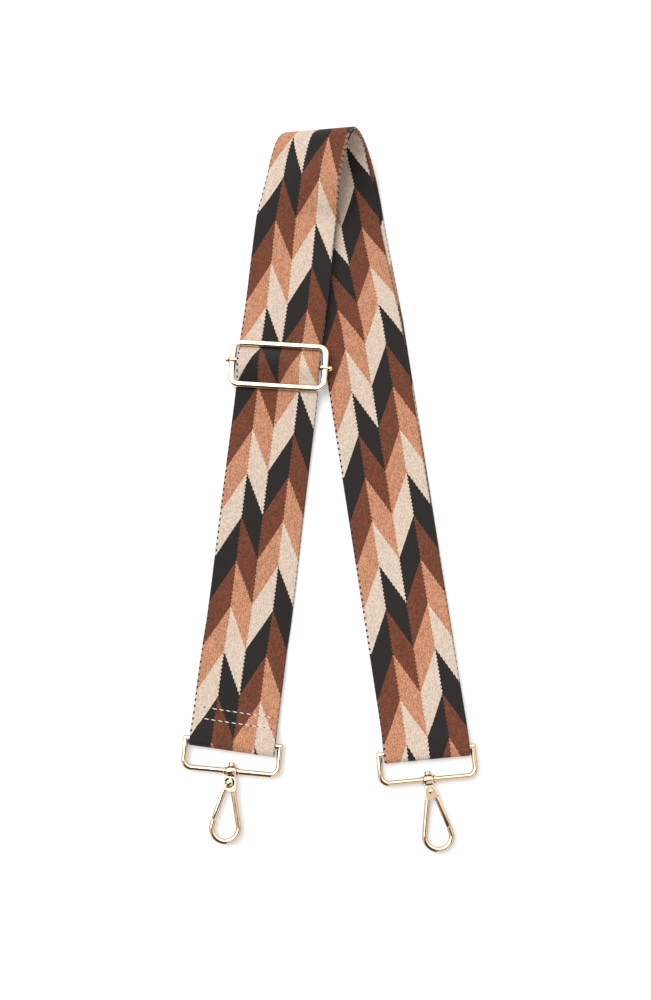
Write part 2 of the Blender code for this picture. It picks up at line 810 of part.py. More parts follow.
def build_clasp(side, clasp_turn, hook_turn, gate_side):
    bar_x = left_bar_x if side == "left" else right_bar_x
    bar_y = left_bar_y if side == "left" else right_bar_y
    sideways = left_ring_sideways if side == "left" else right_ring_sideways
    swivel_sideways = left_swivel_sideways if side == "left" else right_swivel_sideways
    bar_frame = flat_frame(bar_x, bar_y, ring_height, clasp_turn)
    ring_frame = bar_frame @ Matrix.Translation((sideways, 0.0, 0.0))
    swivel = bar_frame @ Vector((swivel_sideways, -ring_drop, 0.0))
    upright = flat_frame(swivel.x, swivel.y, swivel.z, hook_turn)
    hook_frame = upright
    if gate_side < 0.0:
        hook_frame = upright @ Matrix.Rotation(math.pi, 4, "Y")
    build_ring(side, ring_frame, upright)
    build_hook(side, hook_frame)
    build_gate(side, hook_frame)
    build_rivet(side, hook_frame)
    build_spring(side, hook_frame)
    for name, frame in (("ring bar", ring_frame), ("swivel", hook_frame), ("rivet", hook_frame @ rivet_matrix())):
        place = frame.translation
        x_axis, y_axis, z_axis = (frame.to_3x3().col[k] for k in range(3))
        print(side, name, [round(v, 6) for v in place], "X", [round(v, 5) for v in x_axis],
              "Y", [round(v, 5) for v in y_axis], "Z", [round(v, 5) for v in z_axis])


# Slider

def build_slider_frame(slider):
    """Flattened wire frame with a drilled boss on each side for the bar."""
    bm = bmesh.new()
    outline = rounded_rectangle(slider_half_width, -slider_reach, slider_reach, slider_corner, slider_corner)
    wire_tube(bm, outline, 0.5 * slider_rail_width, 0.5 * slider_rail_height, True)
    mesh = mesh_from(bm, "slider_frame")
    frame = add_object("slider_frame", mesh, metal("slider_frame"), slider, Matrix.Identity(4))
    world = slider.matrix_world @ bar_matrix(1.0)
    outer = slider_half_width + 0.5 * slider_rail_width
    inner = slider_half_width - 0.5 * slider_rail_width - side_boss_proud
    for sign in (-1.0, 1.0):
        ends = sorted((sign * inner, sign * outer))
        bm = bmesh.new()
        lathe(bm, ((ends[0], side_boss_radius), (ends[1], side_boss_radius)), ALONG_X)
        boolean(frame, tool_object("side_boss", bm, world), "UNION")
    hole = tenon_radius + tenon_clearance
    bm = bmesh.new()
    lathe(bm, ((-outer - overrun, hole), (outer + overrun, hole)), ALONG_X)
    boolean(frame, tool_object("tenon_hole", bm, world), "DIFFERENCE")
    bake(frame)
    return frame


def build_slider_bar(slider):
    """Centre bar with a shoulder inside each side of the frame and a knob outside."""
    inside = slider_half_width - 0.5 * slider_rail_width - side_boss_proud - seat_gap
    outside = slider_half_width + 0.5 * slider_rail_width + seat_gap
    half = [
        (inside, bar_radius),
        (inside, tenon_radius),
        (outside, tenon_radius),
        (outside, knob_radius),
        (outside + 0.75 * knob_length, knob_radius),
        (outside + knob_length, 0.7 * knob_radius),
    ]
    profile = [(-along, radius) for along, radius in reversed(half)] + half
    bm = bmesh.new()
    lathe(bm, profile, ALONG_X)
    mesh = mesh_from(bm, "slider_bar")
    return add_object("slider_bar", mesh, metal("slider_bar"), slider, bar_matrix(1.0))


def build_strap():
    clear_scene()
    slider = add_empty("slider", slider_frame_matrix())
    bpy.context.view_layer.update()
    last_left = build_left_end()
    beyond = build_slider_webbing(slider, last_left)
    fold_end = build_upper_webbing(beyond)
    build_right_leg(fold_end)
    build_slider_frame(slider)
    build_slider_bar(slider)
    build_clasp("left", left_clasp_turn, left_hook_turn, -1.0)
    build_clasp("right", right_clasp_turn, right_hook_turn, 1.0)
    print("slider", slider.matrix_world)


build_strap()
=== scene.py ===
"""Detachable bag strap: patterned webbing with gold rings, snap hooks and a slider.

The webbing, stitches and metal pieces are made over the strap's frame, in metres.
"""

import json
import math

import bmesh
import bpy
from bpy.props import FloatProperty, FloatVectorProperty, PointerProperty
from bpy.types import Operator, Panel, PropertyGroup
from mathutils import Matrix, Vector


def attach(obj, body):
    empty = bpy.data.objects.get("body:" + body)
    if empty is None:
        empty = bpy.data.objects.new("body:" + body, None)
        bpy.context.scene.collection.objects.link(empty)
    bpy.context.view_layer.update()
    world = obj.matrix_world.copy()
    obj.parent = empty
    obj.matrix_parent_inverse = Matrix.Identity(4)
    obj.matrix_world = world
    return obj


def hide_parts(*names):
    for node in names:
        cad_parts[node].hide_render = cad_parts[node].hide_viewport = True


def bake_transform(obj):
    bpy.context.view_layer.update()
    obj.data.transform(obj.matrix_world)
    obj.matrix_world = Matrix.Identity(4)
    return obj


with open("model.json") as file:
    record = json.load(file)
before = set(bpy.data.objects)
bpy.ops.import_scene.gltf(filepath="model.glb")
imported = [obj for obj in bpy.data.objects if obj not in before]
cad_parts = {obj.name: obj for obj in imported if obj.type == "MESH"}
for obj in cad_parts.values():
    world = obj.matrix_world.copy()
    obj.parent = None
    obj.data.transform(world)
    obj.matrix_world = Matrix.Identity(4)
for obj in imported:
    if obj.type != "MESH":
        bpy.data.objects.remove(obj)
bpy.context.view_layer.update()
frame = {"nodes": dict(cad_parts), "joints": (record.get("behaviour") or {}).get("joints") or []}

bl_info = {
    "name": "Detachable Bag Strap",
    "version": (1, 0, 0),
    "blender": (4, 5, 0),
    "location": "3D View > Sidebar > Bag Strap",
    "description": "Patterned webbing strap with a slider, rings and snap hooks",
    "category": "Add Mesh",
}

MM = 0.001
JOINTS = {joint["name"]: joint for joint in frame["joints"]}
SIDES = ("left", "right")

# Middles of the rings' upper bars, as x and y in mm and turn in degrees, and of the
# slider, as x, y and z in mm. Each leg lies along the Y axis of its ring's bar.
BAR_PLACES = {"left": (-56.4, -153.6, -5.4), "right": (56.1, -158.5, 5.4)}
SLIDER_PLACE = (-30.835, 70.351, 6.208)
SLIDER_TURN = math.radians(-4.3)
SLIDER_ROLL = math.radians(3.0)
# How far the slider's bar is turned and moved in its frame, and how far the loops are turned
BAR_SKEW = math.radians(-1.8)
BAR_SHIFT = 0.95 * MM
LOOP_SKEW = {"left": math.radians(-2.8), "right": 0.0}

# How far along the left run each station is and how far it has turned
LEFT_RUN_SHARES = ((0.30, 0.0), (0.60, 0.20), (0.82, 0.55), (0.92, 0.80))

# The outer layer over the fold: across and along as shares of the width from the
# fold's place, which is in mm, share of a layer below, lift share, yaw and roll in degrees
FOLD_PLACE = (-20.5, 163.0)
FOLD_SHARES = (
    (-0.118, -1.076, 1.00, 0.003, -6.75, 5.3),
    (-0.058, -0.516, 1.00, 0.002, -7.0, 6.4),
    (0.000, 0.000, 1.00, 0.000, -8.5, 8.0),
    (0.038, 0.224, 1.00, 0.004, -11.5, 17.0),
    (0.078, 0.469, 1.00, 0.027, -14.0, 24.5),
    (0.131, 0.717, 1.00, 0.072, -12.0, 26.0),
    (0.206, 0.939, 1.00, 0.128, -9.5, 27.5),
    (0.279, 1.030, 0.60, 0.083, -11.0, 32.0),
    (0.327, 1.029, 0.30, 0.051, -9.0, 29.0),
    (0.358, 0.987, 0.00, 0.022, -7.0, 22.0),
    (0.398, 0.865, 0.00, 0.008, -3.0, 13.5),
    (0.446, 0.679, 0.00, 0.004, 1.0, 7.3),
    (0.504, 0.409, 0.00, 0.002, 5.5, 3.3),
    (0.554, 0.145, 0.00, 0.001, 8.0, 0.9),
    (0.611, -0.213, 0.00, 0.000, 8.2, 0.0),
    (0.719, -0.822, 0.00, 0.000, 8.0, 0.0),
    (0.812, -1.332, 0.00, 0.000, 7.9, 0.0),
)
# Rows of the fold at which the inner and the outer layer pass to the next piece
INNER_CUT = 2
OUTER_CUT = 14
# Steps between two rows of the fold, of a ramp or hump and of the left run
FOLD_STEPS = 8
RAMP_STEPS = 6
RUN_STEPS = 8
# Steps round a ring's bar and round the slider's bar, and columns across the webbing
LOOP_STEPS = 24
BAR_STEPS = 20
COLUMNS = 20

# The pattern's place, in mm and in steps, where the middle of each leg passes PATTERN_Y
PATTERN_Y = -10.75 * MM
LEFT_PATTERN = (29.6, 2.0)
RIGHT_PATTERN = (57.5, 3.0)
# How far the pattern moves on at the slider, and on the webbing's reverse in steps
UPPER_SLIP = 0.3 * MM
REVERSE_STEPS = 1.63
# Share of the right run's length up to PATTERN_Y in which it takes up the pattern's gap
GAP_SHARE = 0.42
# Share of a height by which it seems to lie further along, seen from the camera
VIEW_SHARE = 0.26
# By the place along Y in metres: how far the columns lie to the right and the pattern up, in mm
LEFT_FLOW = (
    (0.083, 0.0, 0.0),
    (0.092, 0.1, -0.6),
    (0.112, 0.1, -0.4),
    (0.131, -0.1, 0.1),
    (0.150, -0.5, 0.9),
    (0.169, -0.8, 0.9),
    (0.188, -1.1, 1.1),
    (0.208, -1.6, 0.0),
)
RIGHT_FLOW = (
    (-0.147, 0.4, 0.0),
    (-0.086, 0.4, 0.0),
    (-0.065, 0.4, -1.0),
    (-0.0415, 0.4, -1.9),
    (0.0035, 0.4, -1.2),
    (0.031, 0.4, -0.2),
    (0.049, 0.4, -0.4),
    (0.084, 0.4, -1.8),
    (0.112, 0.4, -3.2),
    (0.125, 0.4, -4.8),
    (0.137, 0.4, -5.7),
    (0.159, 0.4, -7.2),
    (0.172, 0.4, -7.8),
    (0.185, 0.4, -7.8),
    (0.208, 0.4, -8.2),
)
# By the same place: how far the right leg's upper layer lies to the right, in mm
INNER_SHIFT = ((0.045, 0.0), (0.075, -0.7), (0.100, -1.5), (0.130, -2.2), (0.150, -2.8))
# How far below the crest that shift has its full size
SHIFT_FADE = 14.0 * MM
# By the same place: how far the left leg bows to the right, in mm
LEFT_BOW = (
    (-0.146, 0.0),
    (-0.122, 0.6),
    (-0.103, 1.15),
    (-0.084, 1.62),
    (-0.060, 1.45),
    (-0.030, 0.85),
    (0.0, 0.45),
    (0.055, 0.0),
)

# Rows of stitches on the left end: first and last point in the leg's frame, in mm
STITCH_ROWS = (
    ((-21.8, 18.6), (22.1, 16.1)),
    ((-21.8, 12.1), (22.0, 9.8)),
)
# How far a stitch is turned from its row, and its middle's height above the webbing and
# above the table
STITCH_LEAN = 0.10
STITCH_HEIGHT = 0.06 * MM
UNDERSTITCH_HEIGHT = 0.12 * MM

# Brightness of the painted shade between the threads in each colour, the bound edges' colours and their dark
# threads
THREAD_SHADE_SHARES = (0.22, 0.18, 0.28, 0.54)
EDGE_COLOURS = ((0.016, 0.016, 0.016), (0.16, 0.075, 0.055), (0.60, 0.34, 0.22), (0.72, 0.62, 0.52))
EDGE_THREAD = (0.012, 0.011, 0.011)
FAINT_THREAD = (0.030, 0.016, 0.012)
# Colour of the painted shade in the metal's crevices, and how near a wall brings that shade
CREVICE_SHADE_COLOUR = (0.05, 0.028, 0.016)
CREVICE_SHADE_REACH = 1.6 * MM
WHITE = (1.0, 1.0, 1.0)

# Middle of a hook's rivet, place of its arm and bow, foot of its head and radius of its well
RIVET_POINT = Vector((0.5 * MM, -6.6 * MM, 0.0))
RIVET_PLACE = Matrix.Translation(RIVET_POINT)
ARM_X = -1.5 * MM
BOW_X = 1.45 * MM
HEAD_FOOT = -11.5 * MM
WELL = 3.0 * MM
# Lean and length of a hook's nose
NOSE_LEAN = math.radians(12.0)
NOSE_LENGTH = 2.6 * MM
# How fast a hook's head gets thinner toward its post, and where it has its full thickness
HEAD_TAPER = 0.075
TAPER_Y = -7.0 * MM
# Half the length of a hook's post inside the boss, and radius of that post
POST_HALF = 3.05 * MM
POST_RADIUS = 1.3 * MM
# Radius of a gate's eye and of its bore, the gate's thickness, how far it lies below the
# head's face, where its arm bends and its gap to the nose
EYE = 2.4 * MM
EYE_BORE = 1.15 * MM
GATE_THICKNESS = 1.3 * MM
GATE_DROP = 1.2 * MM
GATE_BEND = Vector((3.6 * MM, -10.5 * MM, 0.0))
GATE_GAP = 0.35 * MM

# Distances within which two points are merged, and two places are taken as one
MERGE = 1e-7
NEAR = 1e-6

# Half the table's side in metres, its depth below the strap and its glow
TABLE_HALF = 4.0
TABLE_DROP = 0.4 * MM
TABLE_GLOW = 0.30
# The lamp's spread and direction, and the camera's place in metres, tilt, lens and sensor
LAMP_SPREAD = math.radians(45.0)
LAMP_WAY = (0.45, -0.35, -1.0)
CAMERA_PLACE = (-0.0025, -0.14285, 0.8275)
CAMERA_TILT = math.radians(9.07)
CAMERA_LENS = 50.4
CAMERA_SENSOR = 36.0
# Room that the metal reflects, from the horizon up: behind and in front, and at the sides
ROOM_ENDS = (
    (0.0, (0.45, 0.42, 0.40)),
    (0.06, (0.12, 0.09, 0.075)),
    (0.17, (0.20, 0.15, 0.12)),
    (0.30, WHITE),
)
ROOM_SIDES = (
    (0.0, (0.60, 0.52, 0.44)),
    (0.14, (0.30, 0.22, 0.16)),
    (0.40, (0.50, 0.42, 0.34)),
    (0.70, WHITE),
)
# What the metal reflects from overhead, the dark wedge there, and the reflections' strength
ROOM_OVERHEAD = (0.72, 0.66, 0.59)
ROOM_WEDGE = (0.050, 0.030, 0.018)
ROOM_LEVEL = 1.45


def size(name, description, default):
    """A length that the user can change; its default is given in mm."""
    return FloatProperty(
        name=name,
        description=description,
        default=default * MM,
        min=0.0,
        precision=5,
        subtype="DISTANCE",
        unit="LENGTH",
    )


def shade(name, description, default):
    """A colour that the user can change."""
    return FloatVectorProperty(
        name=name, description=description, default=default, min=0.0, max=1.0, size=3, subtype="COLOR"
    )


class StrapWebbingSettings(PropertyGroup):
    """Sizes and colours of the webbing and its stitches"""

    width: size("Width", "Width of the webbing", 50.0)
    thickness: size("Thickness", "Thickness of one layer", 1.4)
    layer_step: size("Layer Step", "Height from one layer to the next", 1.7)
    tail: size("Tail", "Length of the sewn end that is turned under", 42.0)
    ramp: size("Ramp", "Length in which a doubled end comes down", 14.0)
    bar_tail: size("Bar Tail", "Length of the end that is turned round the slider's bar", 5.4)
    pattern_step: size("Pattern Step", "Length of one colour of the pattern", 26.8)
    pattern_rise: size("Pattern Rise", "Height of the zigzag's points", 12.3)
    shift: size("Pattern Shift", "How far the pattern's columns lie from the left edge", 0.7)
    jag: size("Jag", "Length of the steps along the edges of a colour", 2.3)
    warp: size("Warp", "Distance between the ribs along the webbing", 0.70)
    pick: size("Pick", "Distance between the threads across the webbing", 0.95)
    selvedge: size("Selvedge", "Width of the bound edge", 1.05)
    selvedge_step: size("Selvedge Step", "Distance between the dark threads of the edge", 3.7)
    black: shade("Black", "Darkest colour of the pattern", (0.0215, 0.0175, 0.0165))
    brown: shade("Brown", "Dark brown of the pattern", (0.262, 0.079, 0.038))
    tan: shade("Tan", "Tan of the pattern", (0.855, 0.390, 0.219))
    beige: shade("Beige", "Palest colour of the pattern", (0.935, 0.752, 0.60))
    stitch: size("Stitch", "Length of a stitch", 2.8)
    stitch_gap: size("Stitch Gap", "Gap between two stitches", 1.2)
    thread: size("Thread", "Thickness of the sewing thread", 0.7)
    thread_colour: shade("Thread Colour", "Colour of the sewing thread", (0.86, 0.82, 0.74))


class StrapMetalSettings(PropertyGroup):
    """Sizes and colours of the rings, the hooks and the slider"""

    ring_wire: size("Ring Wire", "Thickness of the rings' wire", 3.5)
    ring_half: size("Ring Half Width", "Half the width of a ring, to the middle of its wire", 27.5)
    ring_drop: size("Ring Drop", "Distance between a ring's two bars", 16.5)
    ring_corner: size("Ring Corner", "Radius of a ring's lower corners", 4.6)
    boss: size("Boss", "Radius of the boss on a ring's lower bar", 2.8)
    boss_length: size("Boss Length", "Length of the boss", 6.0)
    collar: size("Collar", "Radius of the boss's collars", 2.3)
    hook_wire: size("Hook Wire", "Thickness of the hooks' wire", 3.6)
    head_thickness: size("Head Thickness", "Thickness of a hook's head", 5.4)
    rivet: size("Rivet", "Radius of a rivet's head", 2.0)
    bow: size("Bow", "Radius of a hook's bow", 7.75)
    bow_drop: size("Bow Drop", "Distance from a hook's post to the middle of its bow", 32.0)
    gate_width: size("Gate Width", "Width of a gate's arm", 3.2)
    gate_depth: size("Gate Depth", "Depth of a gate's arm", 2.4)
    slider_half: size("Slider Half Width", "Half the width of the slider, to the middle of its wire", 28.0)
    slider_reach: size("Slider Reach", "Distance from the slider's bar to each rail", 12.8)
    slider_corner: size("Slider Corner", "Radius of the slider's corners", 4.4)
    slider_rail: size("Slider Rail", "Width of the slider's rails", 3.9)
    slider_depth: size("Slider Depth", "Depth of the slider's rails", 3.0)
    bar: size("Bar", "Radius of the slider's bar", 1.4)
    knob: size("Knob", "Radius of the bar's knobs", 1.7)
    gold: shade("Gold", "Plating of the slider", (0.82, 0.675, 0.515))
    # The rings' and hooks' plating is the slider's gold made darker, as painted shade that dulls their
    # reflections
    shaded_gold: shade("Shaded Gold", "Plating of the rings and hooks", (0.70, 0.565, 0.425))
    worn_gold: shade("Worn Gold", "Plating where it is rubbed", (0.66, 0.50, 0.34))
    steel: shade("Steel", "Wire of the springs", (0.55, 0.53, 0.50))


class StrapStageSettings(PropertyGroup):
    """Light and floor"""

    floor: shade("Floor", "Colour of the table", (0.86, 0.86, 0.87))
    sky: FloatProperty(name="Sky", description="Strength of the light from all round", default=0.52, min=0.0)
    lamp: FloatProperty(name="Lamp", description="Strength of the soft lamp", default=1.85, min=0.0)


# Shader expressions

class Wire:
    """A socket that can be used in an expression; each operator adds its node."""

    def __init__(self, shader, socket):
        self.shader = shader
        self.socket = socket

    def math(self, operation, *others):
        inputs = dict(enumerate((self,) + others))
        return self.shader.node("ShaderNodeMath", {"operation": operation}, inputs)

    def __add__(self, other):
        return self.math("ADD", other)

    def __sub__(self, other):
        return self.math("SUBTRACT", other)

    def __mul__(self, other):
        return self.math("MULTIPLY", other)

    def __truediv__(self, other):
        return self.math("DIVIDE", other)

    def __mod__(self, other):
        return self.math("FLOORED_MODULO", other)

    def __lt__(self, other):
        return self.math("LESS_THAN", other)

    def __gt__(self, other):
        return self.math("GREATER_THAN", other)

    def __rsub__(self, other):
        return (self * -1.0) + other

    __radd__ = __add__
    __rmul__ = __mul__

    def __abs__(self):
        return self.math("ABSOLUTE")

    def floor(self):
        return self.math("FLOOR")

    def sine(self):
        return self.math("SINE")

    def least(self, other):
        return self.math("MINIMUM", other)

    def most(self, other):
        return self.math("MAXIMUM", other)

    def clamped(self, high=1.0):
        return self.most(0.0).least(high)


class Shader:
    """A node tree, and the one method that adds nodes to it."""

    def __init__(self, tree):
        self.tree = tree
        tree.nodes.clear()

    def node(self, kind, settings=None, inputs=None, output=0, stops=None):
        made = self.tree.nodes.new(kind)
        for key, value in (settings or {}).items():
            setattr(made, key, value)
        if stops:
            ramp = made.color_ramp
            while len(ramp.elements) < len(stops):
                ramp.elements.new(0.5)
            for element, (place, colour) in zip(ramp.elements, stops):
                element.position = place
                element.color = (*colour, 1.0)
        for key, value in (inputs or {}).items():
            if isinstance(value, Wire):
                self.tree.links.new(value.socket, made.inputs[key])
            elif hasattr(value, "__len__") and len(value) == 3 and made.inputs[key].type == "RGBA":
                made.inputs[key].default_value = (*value, 1.0)
            else:
                made.inputs[key].default_value = value
        return Wire(self, made.outputs[output])

    def mix(self, factor, first, second):
        inputs = {0: factor, 6: first, 7: second}
        return self.node("ShaderNodeMix", {"data_type": "RGBA"}, inputs, 2)

    def parts(self, vector, count=2):
        split = self.node("ShaderNodeSeparateXYZ", None, {0: vector}).socket.node
        return [Wire(self, split.outputs[k]) for k in range(count)]

    def attribute(self, name):
        return self.node("ShaderNodeAttribute", {"attribute_name": name}, None, 2)

    def rays(self):
        """Camera, glossy and transmission rays."""
        path = self.node("ShaderNodeLightPath").socket.node
        names = ("Is Camera Ray", "Is Glossy Ray", "Is Transmission Ray")
        return [Wire(self, path.outputs[name]) for name in names]

    def finish(self, shader, kind="ShaderNodeOutputMaterial"):
        output = self.tree.nodes.new(kind)
        self.tree.links.new(shader.socket, output.inputs[0])


def new_material(name, colour):
    material = bpy.data.materials.new(name)
    material.use_nodes = True
    material.diffuse_color = (*colour, 1.0)
    return material, Shader(material.node_tree)


def webbing_material(settings):
    """Jacquard zigzag in four colours with ribs, speckle of painted shade between the threads, and a bound
    edge.
    """
    found = bpy.data.materials.get("zigzag_webbing")
    if found:
        return found
    width = settings.width
    material, shader = new_material("zigzag_webbing", settings.tan)
    place = shader.node("ShaderNodeUVMap", {"uv_map": "strap"})
    across, along = shader.parts(place)
    warps = round(width / settings.warp)
    picks = width / settings.pick
    jag = settings.jag / width
    column = (across - settings.shift / width - shader.attribute("slip")).most(0.0)
    # The colours' edges go in jags, deeper on every other side of the zigzag.
    shallow, deeper = 0.14, 0.42
    other_side = ((column * 2.0) % 1.0) > 0.5
    jagged = (along / jag).floor() * jag + (0.5 * jag) - along
    stepped = along + jagged * (other_side * deeper + shallow)
    scallop = abs((along / jag) % 1.0 - 0.5) * 0.030 - 0.0075
    wave = abs((column * 2.0) % 1.0 * 2.0 - 1.0) * 2.0 - 1.0
    rise = settings.pattern_rise / width
    step = settings.pattern_step / width
    # The reverse shows the weave's other colours, over a step and a half on.
    reverse = shader.attribute("reverse") > 0.5
    index = ((stepped - wave * rise) / step + reverse * REVERSE_STEPS).floor()
    index = index + ((column + scallop) * 4.0).floor().most(0.0)
    key = (index % 4.0) * 0.25 + 0.1
    colours = [tuple(colour) for colour in (settings.black, settings.brown, settings.tan, settings.beige)]

    def ramp(tints):
        stops = list(zip((0.0, 0.25, 0.5, 0.75), tints))
        node = shader.node("ShaderNodeValToRGB", None, {0: key}, stops=stops)
        node.socket.node.color_ramp.interpolation = "CONSTANT"
        return node

    body = ramp(colours)
    # Darker copies of the four colours: painted shade between the threads
    thread_shade = ramp([tuple(depth * c for c in colour) for colour, depth in zip(colours, THREAD_SHADE_SHARES)])
    edge = ramp(EDGE_COLOURS)
    flat = {"noise_dimensions": "2D"}
    thread = (across * warps).floor()
    cell = shader.node("ShaderNodeCombineXYZ", None, {0: thread, 1: (along * picks + thread * 0.5).floor()})
    grain = shader.node("ShaderNodeTexWhiteNoise", flat, {"Vector": cell})
    cloudy = shader.node("ShaderNodeTexNoise", flat, {"Vector": place, "Scale": 14.0, "Detail": 3.0})
    rib = abs((across * (warps * 0.5 * math.pi)).sine())
    weft = abs((along * (picks * 0.7 * math.pi) + across * (warps * 0.2 * math.pi)).sine())
    # Each thread's random tone and a cloudy tone pick between the colour and its painted shade, with painted
    # shade in the grooves of the ribs and the twill
    level = grain * 0.55 + rib * 0.18 + weft * 0.24 + (cloudy - 0.5) * 0.16
    colour = shader.mix(level.clamped(), thread_shade, body)
    # Dark threads along the bound left edge, and fainter ones along the right
    bound = settings.selvedge / width
    spot = abs((along * (width / settings.selvedge_step)) % 1.0 - 0.5) < 0.20
    colour = shader.mix(across < bound, colour, shader.mix(spot, edge, EDGE_THREAD))
    faint = shader.mix(spot * 0.55 + 0.25, edge, FAINT_THREAD)
    colour = shader.mix((1.0 - across) < 0.55 * bound, colour, faint)
    height = rib * 0.6 + weft * 0.5 + grain * 0.35
    bump = shader.node("ShaderNodeBump", None, {"Strength": 0.30, "Distance": 0.00025, "Height": height})
    inputs = {
        "Base Color": colour,
        "Roughness": 0.78 + grain * 0.14,
        "Normal": bump,
        "Specular IOR Level": 0.3,
        "Sheen Weight": 0.12,
        "Sheen Roughness": 0.5,
    }
    shader.finish(shader.node("ShaderNodeBsdfPrincipled", None, inputs))
    return material


def thread_material(settings, name, level):
    """Twisted sewing thread, or at a low level the painted shade of its needle holes."""
    found = bpy.data.materials.get(name)
    if found:
        return found
    colour = tuple(level * c for c in settings.thread_colour)
    material, shader = new_material(name, colour)
    place = shader.node("ShaderNodeTexCoord", None, None, 3)
    bands = {"bands_direction": "DIAGONAL"}
    twist = shader.node("ShaderNodeTexWave", bands, {"Vector": place, "Scale": 900.0})
    tint = shader.mix(twist * 0.35, colour, tuple(0.62 * c for c in colour))
    bump = shader.node("ShaderNodeBump", None, {"Strength": 0.4, "Distance": 0.0001, "Height": twist})
    inputs = {"Base Color": tint, "Roughness": 0.6 + twist * 0.1, "Normal": bump}
    shader.finish(shader.node("ShaderNodeBsdfPrincipled", None, inputs))
    return material


def metal_material(name, colour, worn, roughness):
    """Polished plating with casting waves, fine scratches, rubbed spots and painted shade in its crevices.
    """
    found = bpy.data.materials.get(name)
    if found:
        return found
    colour, worn = tuple(colour), tuple(worn)
    material, shader = new_material(name, colour)
    place = shader.node("ShaderNodeTexCoord", None, None, 3)
    waves = shader.node("ShaderNodeTexNoise", None, {"Vector": place, "Scale": 160.0, "Detail": 2.0})
    fine = shader.node("ShaderNodeTexNoise", None, {"Vector": place, "Scale": 2400.0, "Detail": 3.0})
    spots = ((waves - 0.52) * 5.0).clamped()
    tint = shader.mix(spots * 0.45, colour, worn)
    # Painted shade: the plating darkens where walls are near, in crevices and between parts
    openness = shader.node("ShaderNodeAmbientOcclusion", None, {"Distance": CREVICE_SHADE_REACH}, 1)
    tint = shader.mix(((0.72 - openness) * 2.8).clamped(0.85), tint, CREVICE_SHADE_COLOUR)
    height = waves * 0.8 + fine * 0.08
    bump = shader.node("ShaderNodeBump", None, {"Strength": 0.09, "Distance": 0.0006, "Height": height})
    inputs = {
        "Base Color": tint,
        "Metallic": 1.0,
        "Roughness": fine * 0.05 + roughness + spots * 0.04,
        "Normal": bump,
    }
    shader.finish(shader.node("ShaderNodeBsdfPrincipled", None, inputs))
    return material


# Shapes

def sweep(bm, section, frames, marks=None):
    """Extrude the edges of a closed section of (x, z) points from frame to frame."""
    along = bm.verts.layers.float.get("along")
    verts = [bm.verts.new(frames[0] @ Vector((x, 0.0, z))) for x, z in section]
    edges = [bm.edges.new(pair) for pair in zip(verts, verts[1:] + verts[:1])]
    if marks:
        across = bm.verts.layers.float.get("across")
        side = bm.verts.layers.float.get("side")
        half = max(x for x, z in section)
        for vert, (x, z) in zip(verts, section):
            vert[side] = z
            vert[across] = 0.5 + 0.5 * x / half
            vert[along] = column_value(marks[0], vert[across])
    for index in range(1, len(frames)):
        grown = bmesh.ops.extrude_edge_only(bm, edges=edges)["geom"]
        verts = [item for item in grown if isinstance(item, bmesh.types.BMVert)]
        fresh = set(verts)
        edges = [item for item in grown if isinstance(item, bmesh.types.BMEdge) and set(item.verts) <= fresh]
        bmesh.ops.transform(bm, matrix=frames[index] @ frames[index - 1].inverted(), verts=verts)
        if marks:
            for vert in verts:
                vert[along] = column_value(marks[index], vert[across])


def close_ends(bm):
    """Fill the open ends and make all faces point outwards."""
    bmesh.ops.remove_doubles(bm, verts=bm.verts, dist=MERGE)
    bmesh.ops.holes_fill(bm, edges=[edge for edge in bm.edges if edge.is_boundary], sides=0)
    bmesh.ops.recalc_face_normals(bm, faces=bm.faces)


def oval(half_width, half_depth, sides=28, power=2.0):
    """Points of an oval section; a power above 2 makes it squarer."""
    points = []
    for side in range(sides):
        angle = 2.0 * math.pi * side / sides
        c, s = math.cos(angle), math.sin(angle)
        x = half_width * math.copysign(abs(c) ** (2.0 / power), c)
        z = half_depth * math.copysign(abs(s) ** (2.0 / power), s)
        points.append((x, z))
    return points


def spin_profile(bm, profile, matrix, sides=48):
    """Spin a profile of (along, radius) pairs about the matrix's Z axis."""
    known = set(bm.verts)
    verts = [bm.verts.new((radius, 0.0, along)) for along, radius in profile]
    edges = [bm.edges.new(pair) for pair in zip(verts, verts[1:])]
    bmesh.ops.spin(
        bm,
        geom=verts + edges,
        cent=(0.0, 0.0, 0.0),
        axis=(0.0, 0.0, 1.0),
        angle=2.0 * math.pi,
        steps=sides,
        use_merge=True,
    )
    made = [vert for vert in bm.verts if vert not in known]
    bmesh.ops.remove_doubles(bm, verts=made, dist=MERGE)
    made = [vert for vert in bm.verts if vert not in known]
    bmesh.ops.transform(bm, matrix=matrix, verts=made)


def plate(bm, outline, base, top, matrix, soft, taper=0.0):
    """Extrude an outline from base to top, round its edges and taper it toward its post."""
    known = set(bm.verts)
    face = bm.faces.new([bm.verts.new((x, y, base)) for x, y in outline])
    grown = bmesh.ops.extrude_face_region(bm, geom=[face])["geom"]
    verts = [item for item in grown if isinstance(item, bmesh.types.BMVert)]
    bmesh.ops.translate(bm, verts=verts, vec=(0.0, 0.0, top - base))
    made = [vert for vert in bm.verts if vert not in known]
    rims = {edge for vert in made for edge in vert.link_edges}
    rims = [edge for edge in rims if abs(edge.verts[0].co.z - edge.verts[1].co.z) < MERGE]
    bmesh.ops.bevel(
        bm,
        geom=rims,
        offset=soft,
        offset_type="OFFSET",
        segments=3,
        profile=0.5,
        affect="EDGES",
        material=-1,
        clamp_overlap=True,
    )
    made = [vert for vert in bm.verts if vert not in known]
    for vert in made:
        vert.co.z -= math.copysign(taper, vert.co.z) * (vert.co.y - TAPER_Y)
    bmesh.ops.transform(bm, matrix=matrix, verts=made)


